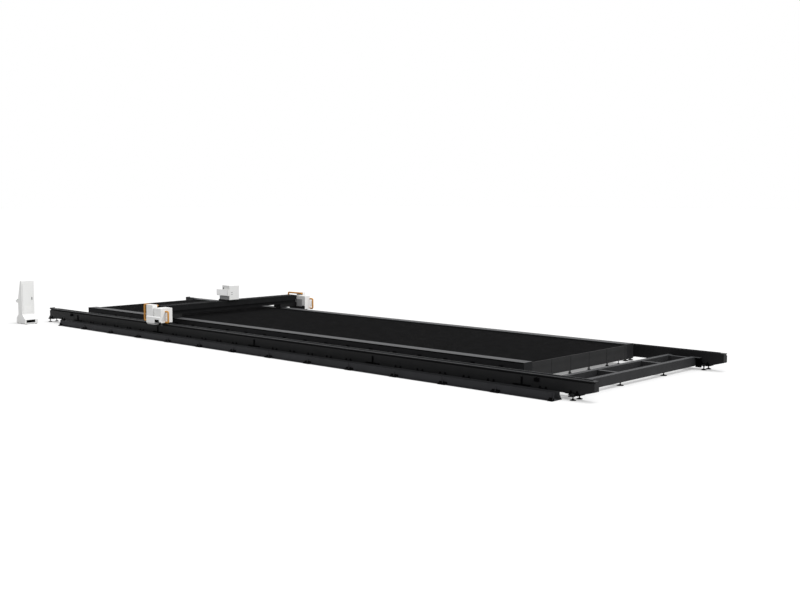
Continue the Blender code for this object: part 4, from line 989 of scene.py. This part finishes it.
# cutting head: turned body with collars, the lens drawer and small fittings round it
headFacts = {"spot": (7.3572, 3.78), "low": 0.93, "radius": 0.0425, "sides": 40,
             "body": ((0.62, 0.0), (0.70, 0.008), (0.70, 0.040), (0.92, 0.052), (0.92, 0.110), (0.86, 0.112),
                      (0.86, 0.118), (1.0, 0.120), (1.0, 0.185), (0.94, 0.187), (0.94, 0.193), (1.0, 0.195),
                      (1.0, 0.290), (0.90, 0.300), (0.90, 0.350), (0.66, 0.356), (0.66, 0.386), (0.52, 0.388),
                      (0.52, 0.400)),
             "drawerHalf": 0.55, "drawerDeep": (0.99, 0.72), "drawerZ": (1.056, 1.108), "drawerEdge": 0.003,
             "fittings": ((0.4, 1.005), (2.6, 1.005), (3.6, 1.17)), "fitting": 0.006, "fittingShare": 0.80}


def makeHead(facts):
    x, y = facts["spot"]
    r = facts["radius"]
    bm = bmesh.new()
    turnInto(bm, ringsOf(facts["body"], r, facts["low"]), (x, y, 0.0), sides=facts["sides"])
    toPiece("head_body", bm, "carriage", "head_slide", smooth=True, replaces=("cutting_head",))
    bm = bmesh.new()
    half = r * facts["drawerHalf"]
    drawerY = [y - r * share for share in facts["drawerDeep"]]
    boxInto(bm, (x - half, x + half), drawerY, facts["drawerZ"], facts["drawerEdge"])
    reach = r * facts["fittingShare"]
    for a, z in facts["fittings"]:
        spot = (x + reach * math.cos(a), y + reach * math.sin(a), z)
        rodInto(bm, facts["fitting"], 0.0, facts["fitting"], spot)
    toPiece("head_drawer_and_fittings", bm, "steel", "head_slide")


makeYServo(yServo)
makeZServo(zServo)
makeXServos(xServo)
makeHead(headFacts)
print("stage: motors and head")


# limit switches: a lidded box with screws and a roller in a holder on top
switchFacts = {"starts": {"left": 1.775, "right": 26.385, "far": 26.385}, "long": 0.15,
               "y": (-0.050, -0.0003), "z": (0.368, 0.472), "edge": 0.004, "lid": 0.003,
               "lidY": (-0.0488, -0.046), "lidInset": 0.006, "lidEdge": 0.0008,
               "screw": 0.004, "screwInset": 0.014, "screwHigh": 0.0012,
               "holderHalf": 0.022, "holderY": (-0.040, -0.0103), "holderZ": (0.471, 0.478),
               "holderEdge": 0.001, "roller": 0.011, "rollerHalf": 0.008, "rollerTop": 0.495}


def makeSwitches(facts):
    low, high = facts["y"]
    base, top = facts["z"]
    inset = facts["lidInset"]
    screw = facts["screwInset"]
    r = facts["roller"]
    for name, start in facts["starts"].items():
        bm = bmesh.new()
        end = start + facts["long"]
        middle = (start + end) / 2
        boxInto(bm, (start, end), (low + facts["lid"], high), (base, top), facts["edge"])
        lidX = (start + inset, end - inset)
        boxInto(bm, lidX, facts["lidY"], (base + inset, top - inset), facts["lidEdge"], 1)
        for x in (start + screw, end - screw):
            for z in (base + screw, top - screw):
                rodInto(bm, facts["screw"], 0.0, facts["screwHigh"], (x, low, z), "Y")
        holderX = (middle - facts["holderHalf"], middle + facts["holderHalf"])
        boxInto(bm, holderX, facts["holderY"], facts["holderZ"], facts["holderEdge"], 1)
        spot = (middle, (low + high) / 2, facts["rollerTop"] - r)
        rodInto(bm, r, -facts["rollerHalf"], facts["rollerHalf"], spot, "Y", 24)
        if name == "far":
            acrossBeds(bm)
        toPiece(name + "_switch_box", bm, "iron", "frame", replaces=(name + "_limit_switch",))


makeSwitches(switchFacts)
print("stage: limit switches")


# backdrop: a wide pale floor that stays white where it is seen and keeps soft shadows
floorFacts = {"half": 400.0, "drop": 0.001, "bounce": 0.42, "seen": 0.62, "glow": 0.30}


def makeFloor(facts):
    bm = bmesh.new()
    bmesh.ops.create_grid(bm, x_segments=1, y_segments=1, size=facts["half"])
    bmesh.ops.translate(bm, verts=bm.verts, vec=(0, 0, -facts["drop"]))
    mesh = bpy.data.meshes.new("floor")
    bm.to_mesh(mesh)
    bm.free()
    floor = bpy.data.objects.new("floor", mesh)
    bpy.context.scene.collection.objects.link(floor)
    mat = bpy.data.materials.new("paleFloor")
    mat.use_nodes = True
    tree = mat.node_tree
    tree.nodes.clear()
    shades = {}
    for name in ("bounce", "seen"):
        shades[name] = tree.nodes.new("ShaderNodeBsdfDiffuse")
        shades[name].inputs["Color"].default_value = (*[facts[name]] * 3, 1)
    glow = tree.nodes.new("ShaderNodeEmission")
    glow.inputs["Strength"].default_value = facts["glow"]
    lit = tree.nodes.new("ShaderNodeAddShader")
    tree.links.new(shades["seen"].outputs[0], lit.inputs[0])
    tree.links.new(glow.outputs[0], lit.inputs[1])
    mix = tree.nodes.new("ShaderNodeMixShader")
    tree.links.new(seenRays(tree), mix.inputs[0])
    tree.links.new(shades["bounce"].outputs[0], mix.inputs[1])
    tree.links.new(lit.outputs[0], mix.inputs[2])
    out = tree.nodes.new("ShaderNodeOutputMaterial")
    tree.links.new(mix.outputs[0], out.inputs["Surface"])
    mesh.materials.append(mat)


makeFloor(floorFacts)
print("stage: floor")
